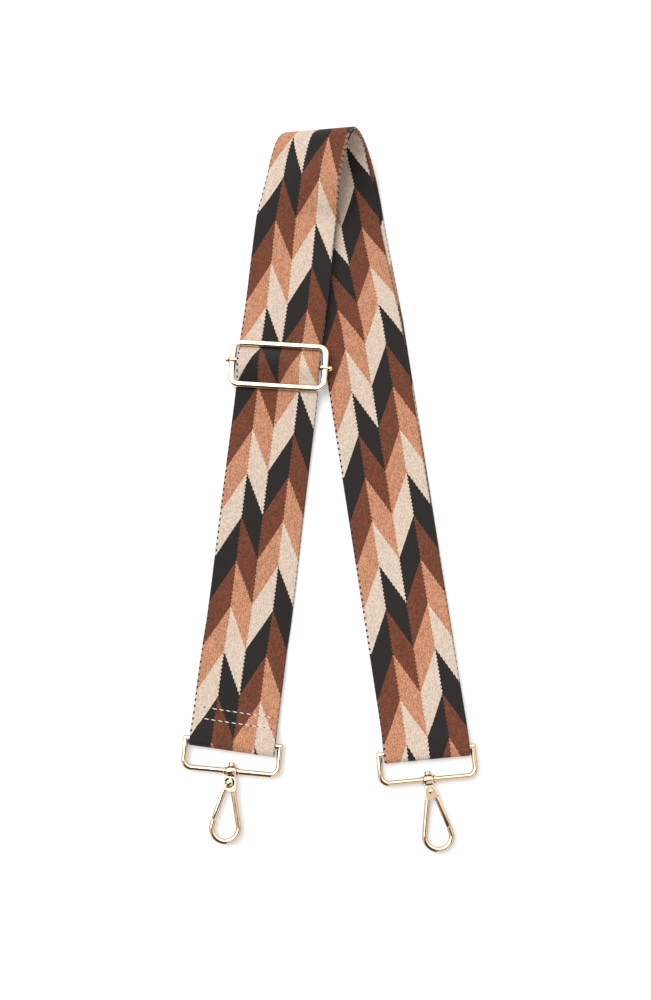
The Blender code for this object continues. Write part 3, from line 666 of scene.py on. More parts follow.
def make_piece(name, bm, material, body=None, nodes=(), crease=38.0):
    """Turn a bmesh into a piece that rides on a body and stands for nodes."""
    close_ends(bm)
    mesh = bpy.data.meshes.new(name)
    bm.to_mesh(mesh)
    bm.free()
    mesh.shade_smooth()
    mesh.set_sharp_from_angle(angle=math.radians(crease))
    mesh.materials.append(material)
    piece = bpy.data.objects.new(name, mesh)
    bpy.context.scene.collection.objects.link(piece)
    if nodes:
        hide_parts(*nodes)
    if body:
        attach(piece, body)
    return piece


def arc(centre, radius, start, end, steps):
    """Points of an arc between two angles in degrees."""
    x, y = centre
    points = []
    for step in range(steps + 1):
        angle = math.radians(start + (end - start) * step / steps)
        points.append(Vector((x + radius * math.cos(angle), y + radius * math.sin(angle), 0.0)))
    return points


def in_mm(points):
    return [(first * MM, second * MM) for first, second in points]


def mirrored(profile):
    """The other half of a turned profile, from its end to its middle."""
    return [(-along, radius) for along, radius in reversed(profile)]


def narrowed(place, share):
    """The same frame with a smaller section."""
    return place @ Matrix.Diagonal((share, 1.0, share, 1.0))


def path_frames(points, base, closed=False):
    """Frames along points in the base's XY plane, stretched at sharp corners."""
    frames = []
    count = len(points)
    for index, point in enumerate(points):
        if closed:
            before, after = points[index - 1], points[(index + 1) % count]
        else:
            before, after = points[max(index - 1, 0)], points[min(index + 1, count - 1)]
        into = (point - before).normalized()
        out = (after - point).normalized()
        into = into if into.length > 0.0 else out
        out = out if out.length > 0.0 else into
        along = (into + out).normalized()
        sideways = Vector((along.y, -along.x, 0.0)) / along.dot(out)
        matrix = Matrix((sideways, along, Vector((0.0, 0.0, 1.0)))).transposed().to_4x4()
        matrix.translation = point
        frames.append(base @ matrix)
    if closed:
        frames.append(frames[0].copy())
    return frames


def flat_frame(x, y, z, turn):
    """A frame that lies level, turned about Z."""
    return Matrix.Translation((x, y, z)) @ Matrix.Rotation(turn, 4, "Z")


ALONG_X = Matrix.Rotation(math.radians(90.0), 4, "Y")
DOWN_Y = Matrix.Rotation(math.radians(90.0), 4, "X")


# Webbing

def cross_of(yaw, roll):
    """Direction across the webbing at a yaw and a roll."""
    return Vector((math.cos(roll) * math.cos(yaw), math.cos(roll) * math.sin(yaw), math.sin(roll)))


def smooth_rows(rows, steps):
    """A smooth curve through rows of numbers."""
    padded = [rows[0]] + list(rows) + [rows[-1]]
    result = []
    for index in range(1, len(padded) - 2):
        a, b, c, d = padded[index - 1:index + 3]
        for step in range(steps):
            u = step / steps
            row = []
            for p, q, r, s in zip(a, b, c, d):
                value = 2.0 * q + (r - p) * u
                value += (2.0 * p - 5.0 * q + 4.0 * r - s) * u * u
                value += (3.0 * q - p - 3.0 * r + s) * u * u * u
                row.append(0.5 * value)
            result.append(tuple(row))
    result.append(tuple(rows[-1]))
    return result


def smooth_stations(stations, steps):
    """The same curve through stations, each a centre and a direction across."""
    rows = smooth_rows([(*centre, *cross) for centre, cross in stations], steps)
    return [(Vector(row[:3]), Vector(row[3:]).normalized()) for row in rows]


def framed(matrix, along, height):
    """A station on a frame's Y and Z plane, straight across its X axis."""
    return matrix @ Vector((0.0, along, height)), matrix.to_3x3() @ Vector((1.0, 0.0, 0.0))


def strip_frames(stations):
    """Frame at each station: X across, Y along and Z out of the pattern's face."""
    frames = []
    last = len(stations) - 1
    for index, (centre, cross) in enumerate(stations):
        along = stations[min(index + 1, last)][0] - stations[max(index - 1, 0)][0]
        along = (along - cross * along.dot(cross)).normalized()
        matrix = Matrix((cross, along, cross.cross(along))).transposed().to_4x4()
        matrix.translation = centre
        frames.append(matrix)
    return frames


def offset_stations(stations, side):
    """The same stations moved out of their face."""
    moved = []
    for (centre, cross), matrix in zip(stations, strip_frames(stations)):
        moved.append((centre + matrix.col[2].to_3d() * side, cross))
    return moved


def table_value(table, place, column=1):
    """Value in metres at a place in a table of mm whose rows start with their places."""
    place = min(max(place, table[0][0]), table[-1][0])
    for near, far in zip(table, table[1:]):
        if place <= far[0]:
            share = (place - near[0]) / (far[0] - near[0])
            return (near[column] + (far[column] - near[column]) * share) * MM
    return table[-1][column] * MM


def moved_sideways(stations, table):
    """Shift stations across the webbing by a table of their places along Y."""
    return [(centre + cross * table_value(table, centre.y), cross) for centre, cross in stations]


def running_lengths(stations):
    """Length from the first station to each."""
    lengths = [0.0]
    for (here, _), (there, _) in zip(stations, stations[1:]):
        lengths.append(lengths[-1] + (there - here).length)
    return lengths


class StrapPath:
    """Middle lines of the webbing's layers, from the sewn end to the slider's bar."""

    def __init__(self, webbing, metal):
        self.webbing = webbing
        self.metal = metal
        self.low = 0.5 * webbing.thickness
        self.loop = 0.5 * metal.ring_wire + webbing.layer_step - 0.5 * webbing.thickness
        self.ring_height = self.loop + self.low
        self.slack = 1.6 * MM
        self.bar_loop = metal.bar + webbing.layer_step - 0.5 * webbing.thickness
        x, y, z = (value * MM for value in SLIDER_PLACE)
        self.slider = flat_frame(x, y, z, SLIDER_TURN) @ Matrix.Rotation(-SLIDER_ROLL, 4, "Y")
        self.hump = self.hump_rows()
        self.fold = self.fold_stations()

    def leg(self, side):
        """Frame of a leg on the table, at its ring's bar."""
        x, y, turn = BAR_PLACES[side]
        return flat_frame(x * MM, y * MM, 0.0, math.radians(turn))

    def end_loop(self, side):
        """Round a ring's bar from below to above."""
        leg = self.leg(side)
        stations = []
        for step in range(LOOP_STEPS + 1):
            angle = math.pi * step / LOOP_STEPS
            along = -self.slack - self.loop * math.sin(angle)
            height = self.ring_height - self.loop * math.cos(angle)
            turned = leg @ Matrix.Rotation(LOOP_SKEW[side] * math.sin(angle), 4, "Z")
            stations.append((leg @ Vector((0.0, along, height)), turned.to_3x3() @ Vector((1.0, 0.0, 0.0))))
        low = framed(leg, 0.0, self.ring_height - self.loop)
        high = framed(leg, 0.0, self.ring_height + self.loop)
        return [low] + stations + [high]

    def ramp_rows(self, sewn):
        """Along and height from the top of a loop to the layer below, or past a sewn tail."""
        top = self.ring_height + self.loop
        over = self.low + self.webbing.layer_step
        ramp, tail = self.webbing.ramp, self.webbing.tail
        rows = [(0.0, top), (0.45 * ramp, 0.75 * top + 0.25 * over), (ramp, over)]
        if sewn:
            rows += [(tail, over), (tail + 0.5 * ramp, 0.5 * (over + self.low)), (tail + ramp, self.low)]
        return smooth_rows(rows, RAMP_STEPS)

    def ramp_down(self, side):
        """Stations down from a loop; the left end is the sewn one."""
        leg = self.leg(side)
        return [framed(leg, along, height) for along, height in self.ramp_rows(side == "left")]

    def on_ramp(self, along):
        """Height and slope of the sewn end's upper face at a distance from the bar."""
        rows = self.ramp_rows(True)
        for (near, low), (far, high) in zip(rows, rows[1:]):
            if near <= along <= far:
                slope = (high - low) / (far - near)
                height = low + slope * (along - near)
                return height + self.low * math.hypot(1.0, slope), math.atan(slope)
        raise ValueError("the sewn end doesn't reach that far")

    def hump_rows(self):
        """Along and height through the slider: under a rail, over the bar, under a rail."""
        metal, webbing = self.metal, self.webbing
        low = -(0.5 * metal.slider_depth + webbing.layer_step - 0.5 * webbing.thickness)
        high = self.bar_loop + webbing.layer_step
        rise, reach = high - low, metal.slider_reach
        half = (
            (1.30 * reach, low),
            (1.00 * reach, low),
            (0.74 * reach, low + 0.22 * rise),
            (0.42 * reach, low + 0.70 * rise),
            (0.17 * reach, low + 0.96 * rise),
        )
        rows = [(-along, height) for along, height in half]
        rows.append((0.0, high))
        rows.extend(reversed(half))
        return smooth_rows(rows, RAMP_STEPS)

    def bar_place(self, share=1.0):
        """The bar lies a little askew in its frame; a share of that turn and shift."""
        shift = Matrix.Translation((0.0, share * BAR_SHIFT, 0.0))
        return self.slider @ shift @ Matrix.Rotation(share * BAR_SKEW, 4, "Z")

    def through(self, along, height):
        """A station through the slider, which follows the bar where it is near it."""
        near = max(0.0, 1.0 - abs(along) / self.metal.slider_reach)
        return framed(self.bar_place(near * near * (3.0 - 2.0 * near)), along, height)

    def fold_stations(self):
        """Outer layer from just above the slider over the fold to the right leg."""
        width = self.webbing.width
        stations = [self.through(*self.hump[-1])]
        for across, along, below, lift, yaw, roll in FOLD_SHARES:
            roll = math.radians(roll)
            height = self.low + below * self.webbing.layer_step + width * (lift + 0.5 * math.sin(roll))
            x, y = (place * MM + share * width for place, share in zip(FOLD_PLACE, (across, along)))
            centre = Vector((x, y, height))
            stations.append((centre, cross_of(math.radians(yaw), roll)))
        return smooth_stations(stations, FOLD_STEPS)

    def cut(self, row):
        """The fold's station at one of its rows."""
        return (row + 1) * FOLD_STEPS

    def lower_run(self):
        """Turned-under tail, loop, left end and run, up to the slider's upper rail."""
        leg, tail = self.leg("left"), self.webbing.tail
        stations = [framed(leg, tail * share, self.low) for share in (1.0, 0.75, 0.5, 0.25)]
        stations += self.end_loop("left") + self.ramp_down("left")[1:]
        start = stations[-1]
        reach = self.metal.slider_reach
        over = [self.through(*row) for row in self.hump if row[0] < reach + NEAR]
        run = [start]
        for share, turn in LEFT_RUN_SHARES:
            centre = start[0].lerp(over[0][0], share)
            cross = start[1].lerp(over[0][1], turn).normalized()
            centre.z = start[0].z + 0.5 * self.webbing.width * cross.z
            run.append((centre, cross))
        run.append(over[0])
        stations += smooth_stations(run, RUN_STEPS)[1:]
        return moved_sideways(stations, LEFT_BOW) + over[1:]

    def even_hump(self, rows):
        """Even out the pattern over the hump, as it looks from the camera's side."""
        reach = self.metal.slider_reach
        places = [along + VIEW_SHARE * height for along, height in self.hump if along < reach + NEAR]
        first, last = rows[-len(places)], rows[-1]
        for index, place in enumerate(places):
            share = (place - places[0]) / (places[-1] - places[0])
            rows[index - len(places)] = [a + (b - a) * share for a, b in zip(first, last)]

    def upper_run(self):
        """Outer layer from the slider's upper rail over the fold to the right leg."""
        reach = self.metal.slider_reach
        start = [self.through(*row) for row in self.hump if row[0] > reach - NEAR]
        return start[:-1] + self.fold[:self.cut(OUTER_CUT) + 1]

    def right_run(self):
        """Right leg's lower layer, its loop and upper layer, and the fold's inner layer."""
        leg = self.leg("right")
        stations = self.fold[self.cut(OUTER_CUT):] + [framed(leg, self.webbing.ramp, self.low)]
        stations += self.end_loop("right") + self.ramp_down("right")[1:]
        inner = offset_stations(self.fold, -self.webbing.layer_step)
        inner = list(reversed(inner[self.cut(INNER_CUT):]))
        moved = moved_sideways(inner, INNER_SHIFT)
        crest = max(range(len(inner)), key=lambda k: inner[k][0].y)
        for index, (centre, cross) in enumerate(inner):
            below = inner[crest][0].y - centre.y
            share = 0.0 if index >= crest else min(1.0, below / SHIFT_FADE)
            stations.append((centre.lerp(moved[index][0], share), cross))
        return stations

    def return_run(self):
        """Inner layer from the fold down to the slider, round its bar to the sewn tail."""
        start = [self.through(*row) for row in self.hump if row[0] > -NEAR]
        outer = start[:-1] + self.fold[:self.cut(INNER_CUT) + 1]
        stations = list(reversed(offset_stations(outer, -self.webbing.layer_step)))
        bar = self.bar_place()
        for step in range(1, BAR_STEPS + 1):
            angle = math.pi * step / BAR_STEPS
            stations.append(framed(bar, -self.bar_loop * math.sin(angle), self.bar_loop * math.cos(angle)))
        drop = 0.6 * self.webbing.layer_step
        stations.append(framed(bar, self.webbing.bar_tail, -self.bar_loop - drop))
        return stations


def strip_section(width, thickness):
    """Closed section of the webbing with rounded edges."""
    high = 0.5 * thickness
    flat = 0.5 * width - high
    upper = [(-flat + 2.0 * flat * k / COLUMNS, high) for k in range(COLUMNS + 1)]
    angles = [math.radians(angle) for angle in (60, 30, 0, -30, -60)]
    bend = [(flat + high * math.cos(angle), high * math.sin(angle)) for angle in angles]
    lower = [(x, -z) for x, z in reversed(upper)]
    left = [(-x, -z) for x, z in bend]
    return upper + bend + lower + left


def column_value(row, across):
    """Value of a row of columns at a share of the width."""
    place = min(max(across, 0.0), 1.0) * (len(row) - 1)
    low = min(int(place), len(row) - 2)
    return row[low] + (row[low + 1] - row[low]) * (place - low)


STRIP_LAYERS = ("slip", "side", "across", "along")


def make_strip(name, stations, marks, webbing, nodes, flow, body=None):
    """One length of webbing; marks is each column's place in the pattern, in widths."""
    bm = bmesh.new()
    for layer in STRIP_LAYERS:
        bm.verts.layers.float.new(layer)
    sweep(bm, strip_section(webbing.width, webbing.thickness), strip_frames(stations), marks)
    close_ends(bm)
    chart = bm.loops.layers.uv.new("strap")
    reverse = bm.faces.layers.float.new("reverse")
    slip, side, across, along = (bm.verts.layers.float.get(layer) for layer in STRIP_LAYERS)
    for vert in bm.verts:
        vert[slip] = table_value(flow, vert.co.y) / webbing.width
        vert[along] += table_value(flow, vert.co.y, 2) / webbing.width
    for face in bm.faces:
        face[reverse] = float(sum(vert[side] for vert in face.verts) < 0.0)
        for loop in face.loops:
            loop[chart].uv = (loop.vert[across], loop.vert[along])
    return make_piece(name, bm, webbing_material(webbing), body, nodes, 50.0)


def columns_of(station, width):
    """Points of a station across the webbing."""
    centre, cross = station
    return [centre + cross * (width * (k / COLUMNS - 0.5)) for k in range(COLUMNS + 1)]


def pattern_rows(stations, first, width):
    """Pattern place of each column, in widths, when the first row is known."""
    rows = [list(first)]
    points = columns_of(stations[0], width)
    for station in stations[1:]:
        fresh = columns_of(station, width)
        rows.append([mark - (b - a).length / width for mark, a, b in zip(rows[-1], points, fresh)])
        points = fresh
    return rows


def pinned_rows(stations, y, place, width):
    """The same, when the pattern's place in metres is known where the middle passes y."""
    lengths = running_lengths(stations)
    pin = length_at(stations, y)
    index = min(range(1, len(stations) - 1), key=lambda k: abs(lengths[k] - pin))
    way = (stations[index + 1][0] - stations[index - 1][0]).normalized()
    lean = stations[index][1].dot(way)
    middle = (place - lengths[index] + pin) / width
    wanted = [middle - lean * (k / COLUMNS - 0.5) for k in range(COLUMNS + 1)]
    plain = pattern_rows(stations, [0.0] * (COLUMNS + 1), width)
    return pattern_rows(stations, [w - p for w, p in zip(wanted, plain[index])], width)


def length_at(stations, y):
    """Running length where the stations pass a Y on their way up."""
    lengths = running_lengths(stations)
    for index in range(len(stations) - 1):
        low, high = stations[index][0].y, stations[index + 1][0].y
        if low <= y < high:
            share = (y - low) / (high - low)
            return lengths[index] + share * (lengths[index + 1] - lengths[index])
    raise ValueError("the webbing doesn't pass that place")


def strap_marks(path, lower, upper, right, back):
    """Pattern places of the four lengths, each leg's known where its middle passes PATTERN_Y."""
    width, step = path.webbing.width, path.webbing.pattern_step
    left_place, right_place = (place * MM + steps * step for place, steps in (LEFT_PATTERN, RIGHT_PATTERN))
    lower_rows = pinned_rows(lower, PATTERN_Y, left_place, width)
    right_rows = pinned_rows(right, PATTERN_Y, right_place, width)
    upper_rows = pattern_rows(upper, [mark + UPPER_SLIP / width for mark in lower_rows[-1]], width)
    back_rows = pattern_rows(back, right_rows[-1], width)
    path.even_hump(lower_rows)
    # Below the right leg the pattern runs on from the outer layer's end.
    cycle = 4.0 * step / width
    gap = upper_rows[-1][COLUMNS // 2] - right_rows[0][COLUMNS // 2]
    gap = (gap + 0.5 * cycle) % cycle - 0.5 * cycle
    under = length_at(right, PATTERN_Y)
    for mark, length in zip(right_rows, running_lengths(right)):
        share = max(0.0, 1.0 - length / (GAP_SHARE * under))
        mark[:] = [value + gap * share for value in mark]
    return lower_rows, upper_rows, right_rows, back_rows


class STRAP_OT_webbing(Operator):
    """Make the four lengths of patterned webbing"""

    bl_idname = "strap.webbing"
    bl_label = "Webbing"

    def execute(self, context):
        webbing, metal = context.scene.strap_webbing, context.scene.strap_metal
        path = StrapPath(webbing, metal)
        lengths = path.lower_run(), path.upper_run(), path.right_run(), path.return_run()
        pieces = (
            ("lower_run", ("left_tail", "left_loop", "left_end", "left_run", "slider_pass")),
            ("upper_run", ("left_upper", "fold_outer")),
            ("right_run", ("right_bottom", "right_loop", "right_top", "fold_inner")),
            ("return_run", ("return_run", "bar_loop")),
        )
        made = {}
        for (name, nodes), stations, marks in zip(pieces, lengths, strap_marks(path, *lengths)):
            nodes = ["webbing_" + node for node in nodes]
            body = "webbing" if name == "right_run" else None
            flow = LEFT_FLOW if name in ("lower_run", "upper_run") else RIGHT_FLOW
            piece = make_strip("strap_" + name, stations, marks, webbing, nodes, flow, body)
            made[name] = piece
            length = running_lengths(stations)[-1]
            held = "folded" if name in ("upper_run", "right_run") else "laid"
        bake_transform(made["lower_run"])
        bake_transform(made["upper_run"])
        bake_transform(made["return_run"])
        return {"FINISHED"}


def add_bead(bm, place, sizes, segments):
    """A flattened ball, for a stitch or the painted shade of the hole beside it."""
    stretch = Matrix.Diagonal((*sizes, 1.0))
    bmesh.ops.create_uvsphere(bm, u_segments=segments, v_segments=6, radius=1.0, matrix=place @ stretch)


class STRAP_OT_stitches(Operator):
    """Make the two rows of stitches on the sewn end, above and below"""

    bl_idname = "strap.stitches"
    bl_label = "Stitches"

    def execute(self, context):
        webbing, metal = context.scene.strap_webbing, context.scene.strap_metal
        path = StrapPath(webbing, metal)
        leg = path.leg("left")
        pitch = webbing.stitch + webbing.stitch_gap
        stitch = (0.5 * webbing.stitch, 0.5 * webbing.thread, 0.36 * webbing.thread)
        hole = (0.5 * webbing.stitch_gap, 0.62 * webbing.thread, 0.14 * webbing.thread)
        bm, holes = bmesh.new(), bmesh.new()

        def on_leg(point, height, tilt):
            raised = leg @ Matrix.Translation(point + Vector((0.0, 0.0, height)))
            return raised @ Matrix.Rotation(tilt, 4, "X")

        for ends in STITCH_ROWS:
            start, end = (Vector((x * MM, y * MM, 0.0)) for x, y in ends)
            row = end - start
            lean = Matrix.Rotation(math.atan2(row.y, row.x) - STITCH_LEAN, 4, "Z")
            for index in range(int((row.length + webbing.stitch_gap) / pitch)):
                middle = start + row.normalized() * (index * pitch + 0.5 * webbing.stitch)
                top, slope = path.on_ramp(middle.y)
                add_bead(bm, on_leg(middle, top + STITCH_HEIGHT, slope) @ lean, stitch, 10)
                add_bead(bm, on_leg(middle, UNDERSTITCH_HEIGHT, 0.0) @ lean, stitch, 10)
                # Beside each stitch a dark bead is painted shade in the needle hole
                middle += row.normalized() * (0.5 * pitch)
                top, slope = path.on_ramp(middle.y)
                add_bead(holes, on_leg(middle, top, slope), hole, 8)
        thread = thread_material(webbing, "sewing_thread", 1.0)
        shadow = thread_material(webbing, "needle_hole_shade", 0.035)
        make_piece("sewn_end_stitches", bm, thread, "webbing")
        make_piece("needle_hole_painted_shade", holes, shadow, "webbing")
        return {"FINISHED"}


# Rings and hooks

def gold_of(metal, cast=True):
    """Plating of the rings and hooks, made darker than the slider's as painted shade, or of the slider."""
    if cast:
        return metal_material("gold_plated_casting", metal.shaded_gold, metal.worn_gold, 0.09)
    return metal_material("gold_plated_slider", metal.gold, metal.worn_gold, 0.07)


def joint_frame(name, across):
    """Frame at a joint, its X or Y axis along the joint's axis and Z up."""
    joint = JOINTS[name]
    axis = Vector(joint["axis"]).normalized()
    up = Vector((0.0, 0.0, 1.0))
    columns = (axis, up.cross(axis), up) if across else (axis.cross(up), axis, up)
    matrix = Matrix(columns).transposed().to_4x4()
    matrix.translation = Vector(joint["pos_m"])
    return matrix


def hook_frame(side):
    """Z points out of the hook's open face: up on the left, down on the right."""
    upright = joint_frame(side + "_hook_swivel", False)
    if side == "left":
        return upright @ Matrix.Diagonal((-1.0, 1.0, 1.0, 1.0))
    return upright @ Matrix.Diagonal((1.0, 1.0, -1.0, 1.0))


def ring_outline(metal):
    """Middle line of a ring's wire, with sharp corners at its upper bar."""
    half, low, corner = metal.ring_half, -metal.ring_drop, metal.ring_corner
    points = [Vector((half, 0.0, 0.0)), Vector((-half, 0.0, 0.0))]
    points += arc((corner - half, low + corner), corner, 180.0, 270.0, 14)
    points += arc((half - corner, low + corner), corner, 270.0, 360.0, 14)
    return points


def boss_profile(metal):
    """Right half of the boss on a ring's lower bar, with its collar."""
    half, collar, boss = 0.5 * metal.boss_length, metal.collar, metal.boss
    end = half + 1.4 * MM
    return [
        (0.0, boss + 0.12 * MM),
        (0.55 * half, boss + 0.06 * MM),
        (0.86 * half, boss - 0.10 * MM),
        (half, boss - 0.45 * MM),
        (half + 0.08 * MM, collar - 0.30 * MM),
        (half + 0.30 * MM, collar),
        (end - 0.30 * MM, collar),
        (end, collar - 0.30 * MM),
        (end, 0.0),
    ]


class STRAP_OT_rings(Operator):
    """Make the two rings with their drilled bosses"""

    bl_idname = "strap.rings"
    bl_label = "Rings"

    def execute(self, context):
        metal = context.scene.strap_metal
        radius = 0.5 * metal.ring_wire
        right = boss_profile(metal)
        for side in SIDES:
            name = side + "_ring"
            bm = bmesh.new()
            base = joint_frame(name + "_hinge", True)
            sweep(bm, oval(radius, radius), path_frames(ring_outline(metal), base, True))
            place = joint_frame(side + "_hook_swivel", False)
            spin_profile(bm, mirrored(right[1:]) + right, place @ ALONG_X)
            make_piece(side + "_ring_wire", bm, gold_of(metal), name, [name])
        return {"FINISHED"}


def bow_points(metal):
    """Middle line of a hook's arm and bow, from its head to its nose."""
    points = [Vector((ARM_X, -9.0 * MM, 0.0))]
    points += arc((BOW_X, -metal.bow_drop), metal.bow, 172.0, 372.0, 40)
    tip = points[-1]
    for share in (0.5, 0.9, 1.0):
        points.append(tip + Vector((-math.sin(NOSE_LEAN), math.cos(NOSE_LEAN), 0.0)) * (share * NOSE_LENGTH))
    return points


def head_points(part):
    """Outline of a hook's cheek, of its body round the pocket, or of the pocket's lip."""
    centre = RIVET_POINT.to_2d()
    foot_right = (ARM_X + 1.6 * MM, HEAD_FOOT)
    outer = in_mm([(1.9, -3.05), (-1.9, -3.05), (-2.6, -4.1), (-3.3, -5.6), (-3.5, -8.2), (-3.3, -10.2)])
    outer += [(ARM_X - 1.75 * MM, HEAD_FOOT), foot_right]
    edge = [(1.5, -10.6), (3.4, -10.4), (4.4, -10.0), (4.75, -9.2), (4.5, -8.0), (3.7, -5.9), (2.6, -3.9)]
    edge = in_mm(edge)
    if part == "cheek":
        return outer + edge
    if part == "lip":
        bend = arc(centre, WELL, 12.0, -122.0, 24)
        return [(p.x, p.y) for p in bend] + [foot_right] + edge[:5]
    bend = arc(centre, WELL, 212.0, 12.0, 24)
    return outer + [(-0.3 * MM, -9.8 * MM)] + [(p.x, p.y) for p in bend] + edge[5:]


def post_profile():
    """A hook's post, from its peened head to the hook's own head."""
    end = -POST_HALF
    return [
        (end - 2.0 * MM, 0.0),
        (end - 2.0 * MM, 1.2 * MM),
        (end - 1.7 * MM, 1.75 * MM),
        (end - 1.1 * MM, 2.15 * MM),
        (end - 0.3 * MM, 2.2 * MM),
        (end, 2.0 * MM),
        (end, POST_RADIUS),
        (POST_HALF, POST_RADIUS),
        (POST_HALF, 1.9 * MM),
        (POST_HALF + 2.4 * MM, 2.1 * MM),
        (POST_HALF + 2.4 * MM, 0.0),
    ]


def rivet_profile(metal):
    """A rivet from its low head under the cheek to its round head in the pocket."""
    thick, head = 0.5 * metal.head_thickness, metal.rivet
    return [
        (-thick - 0.45 * MM, 0.0),
        (-thick - 0.36 * MM, 0.8 * MM),
        (-thick - 0.12 * MM, 1.4 * MM),
        (-thick + 0.1 * MM, 1.55 * MM),
        (-thick + 0.2 * MM, 1.55 * MM),
        (-thick + 0.2 * MM, 1.0 * MM),
        (thick - 0.9 * MM, 1.0 * MM),
        (thick - 0.9 * MM, head),
        (thick - 0.30 * MM, head),
        (thick - 0.02 * MM, 0.86 * head),
        (thick + 0.18 * MM, 0.5 * head),
        (thick + 0.24 * MM, 0.0),
    ]


class STRAP_OT_hooks(Operator):
    """Make the two hooks with their swivel posts and rivets"""

    bl_idname = "strap.hooks"
    bl_label = "Hooks"

    def execute(self, context):
        metal = context.scene.strap_metal
        radius, thick = 0.5 * metal.hook_wire, 0.5 * metal.head_thickness
        # Each part of the head: its lower and upper face and how far its edges are rounded
        parts = (
            ("cheek", -thick, -thick + 1.3 * MM, 0.5 * MM),
            ("body", -thick + 1.1 * MM, thick, 0.4 * MM),
            ("lip", thick - 0.5 * MM, thick, 0.2 * MM),
        )
        for side in SIDES:
            name = side + "_hook"
            base = hook_frame(side)
            bm = bmesh.new()
            frames = path_frames(bow_points(metal), base)
            frames[-1] = narrowed(frames[-1], 0.86)
            sweep(bm, oval(radius, radius), frames)
            for part, low, high, soft in parts:
                plate(bm, head_points(part), low, high, base, soft, HEAD_TAPER)
            spin_profile(bm, post_profile(), base @ DOWN_Y, 32)
            make_piece(side + "_hook_casting", bm, gold_of(metal), name, [name], 14.0)
            bm = bmesh.new()
            spin_profile(bm, rivet_profile(metal), base @ RIVET_PLACE, 32)
            make_piece(side + "_rivet_turned", bm, gold_of(metal), name, [side + "_rivet"])
        return {"FINISHED"}


def eye_profile(low, top):
    """Closed section of a gate's eye, rounded outside."""
    soft = 0.2 * MM
    return [
        (low, EYE_BORE),
        (low, EYE - soft),
        (low + soft, EYE),
        (top - soft, EYE),
        (top, EYE - soft),
        (top, EYE_BORE),
        (low, EYE_BORE),
    ]


class STRAP_OT_gates(Operator):
    """Make the two gates and finish their springs"""

    bl_idname = "strap.gates"
    bl_label = "Gates"

    def execute(self, context):
        metal = context.scene.strap_metal
        steel = metal_material("spring_steel_wire", metal.steel, metal.steel, 0.3)
        top = 0.5 * metal.head_thickness - GATE_DROP
        low = top - GATE_THICKNESS
        bend = GATE_BEND - RIVET_POINT
        nose = bow_points(metal)[-1] - RIVET_POINT
        tip = nose - (nose - bend).normalized() * GATE_GAP
        inner = Vector((bend.y, -bend.x, 0.0)).normalized() * (0.40 * metal.gate_width)
        start = bend.normalized() * (1.5 * MM)
        outline = [start + inner * 1.1, start - inner * 1.1, bend - inner, bend + inner]
        line = [bend * 0.92, bend.lerp(tip, 0.12), bend.lerp(tip, 0.5), bend.lerp(tip, 0.97), tip]
        for side in SIDES:
            name = side + "_gate"
            base = hook_frame(side) @ RIVET_PLACE
            bm = bmesh.new()
            spin_profile(bm, eye_profile(low, top), base, 40)
            plate(bm, [(p.x, p.y) for p in outline], low, top, base, 0.3 * MM)
            frames = path_frames(line, base)
            frames[0] = narrowed(frames[0], 0.9)
            frames[-1] = narrowed(frames[-1], 0.9)
            sweep(bm, oval(0.5 * metal.gate_width, 0.5 * metal.gate_depth, 28, 2.1), frames)
            make_piece(side + "_gate_casting", bm, gold_of(metal), name, [name])
            spring = frame["nodes"][side + "_gate_spring"]
            spring.data.materials.clear()
            spring.data.materials.append(steel)
        return {"FINISHED"}


def slider_boss_profile(inside, outside):
    """Boss in a side of the slider's frame, where its bar goes through."""
    return [
        (inside - 0.7 * MM, 0.0),
        (inside - 0.7 * MM, 1.6 * MM),
        (inside - 0.4 * MM, 1.95 * MM),
        (inside + 0.5 * MM, 2.0 * MM),
        (outside - 0.4 * MM, 1.9 * MM),
        (outside, 1.6 * MM),
        (outside, 0.0),
    ]


def bar_profile(metal, inside, outside):
    """Right half of the slider's bar, its thinner neck and its knob."""
    knob, neck = metal.knob, 0.8 * MM
    inner = inside - 0.95 * MM
    outer = outside + 0.25 * MM
    return [
        (inner, metal.bar),
        (inner, neck),
        (outer, neck),
        (outer, 0.72 * knob),
        (outer + 0.3 * MM, 0.95 * knob),
        (outer + 0.9 * MM, knob),
        (outer + 1.6 * MM, 0.97 * knob),
        (outer + 2.15 * MM, 0.78 * knob),
        (outer + 2.4 * MM, 0.45 * knob),
        (outer + 2.4 * MM, 0.0),
    ]


class STRAP_OT_slider(Operator):
    """Make the slider's frame and its bar"""

    bl_idname = "strap.slider"
    bl_label = "Slider"

    def execute(self, context):
        webbing, metal = context.scene.strap_webbing, context.scene.strap_metal
        path = StrapPath(webbing, metal)
        gold = gold_of(metal, False)
        half, reach, corner = metal.slider_half, metal.slider_reach, metal.slider_corner
        points = []
        for x, y, start in ((1, 1, 0.0), (-1, 1, 90.0), (-1, -1, 180.0), (1, -1, 270.0)):
            points += arc((x * (half - corner), y * (reach - corner)), corner, start, start + 90.0, 14)
        bm = bmesh.new()
        section = oval(0.5 * metal.slider_rail, 0.5 * metal.slider_depth, 32, 2.5)
        sweep(bm, section, path_frames(points, path.slider, True))
        inside = half - 0.5 * metal.slider_rail
        outside = half + 0.5 * metal.slider_rail
        bar = path.bar_place() @ ALONG_X
        boss = slider_boss_profile(inside, outside)
        for sign in (-1.0, 1.0):
            spin_profile(bm, [(sign * along, radius) for along, radius in boss], bar, 32)
        make_piece("slider_frame_casting", bm, gold, "slider", ["slider_frame"])
        bm = bmesh.new()
        right = bar_profile(metal, inside, outside)
        spin_profile(bm, mirrored(right) + right, bar, 32)
        make_piece("slider_bar_turned", bm, gold, "slider", ["slider_bar"])
        return {"FINISHED"}


# Stage

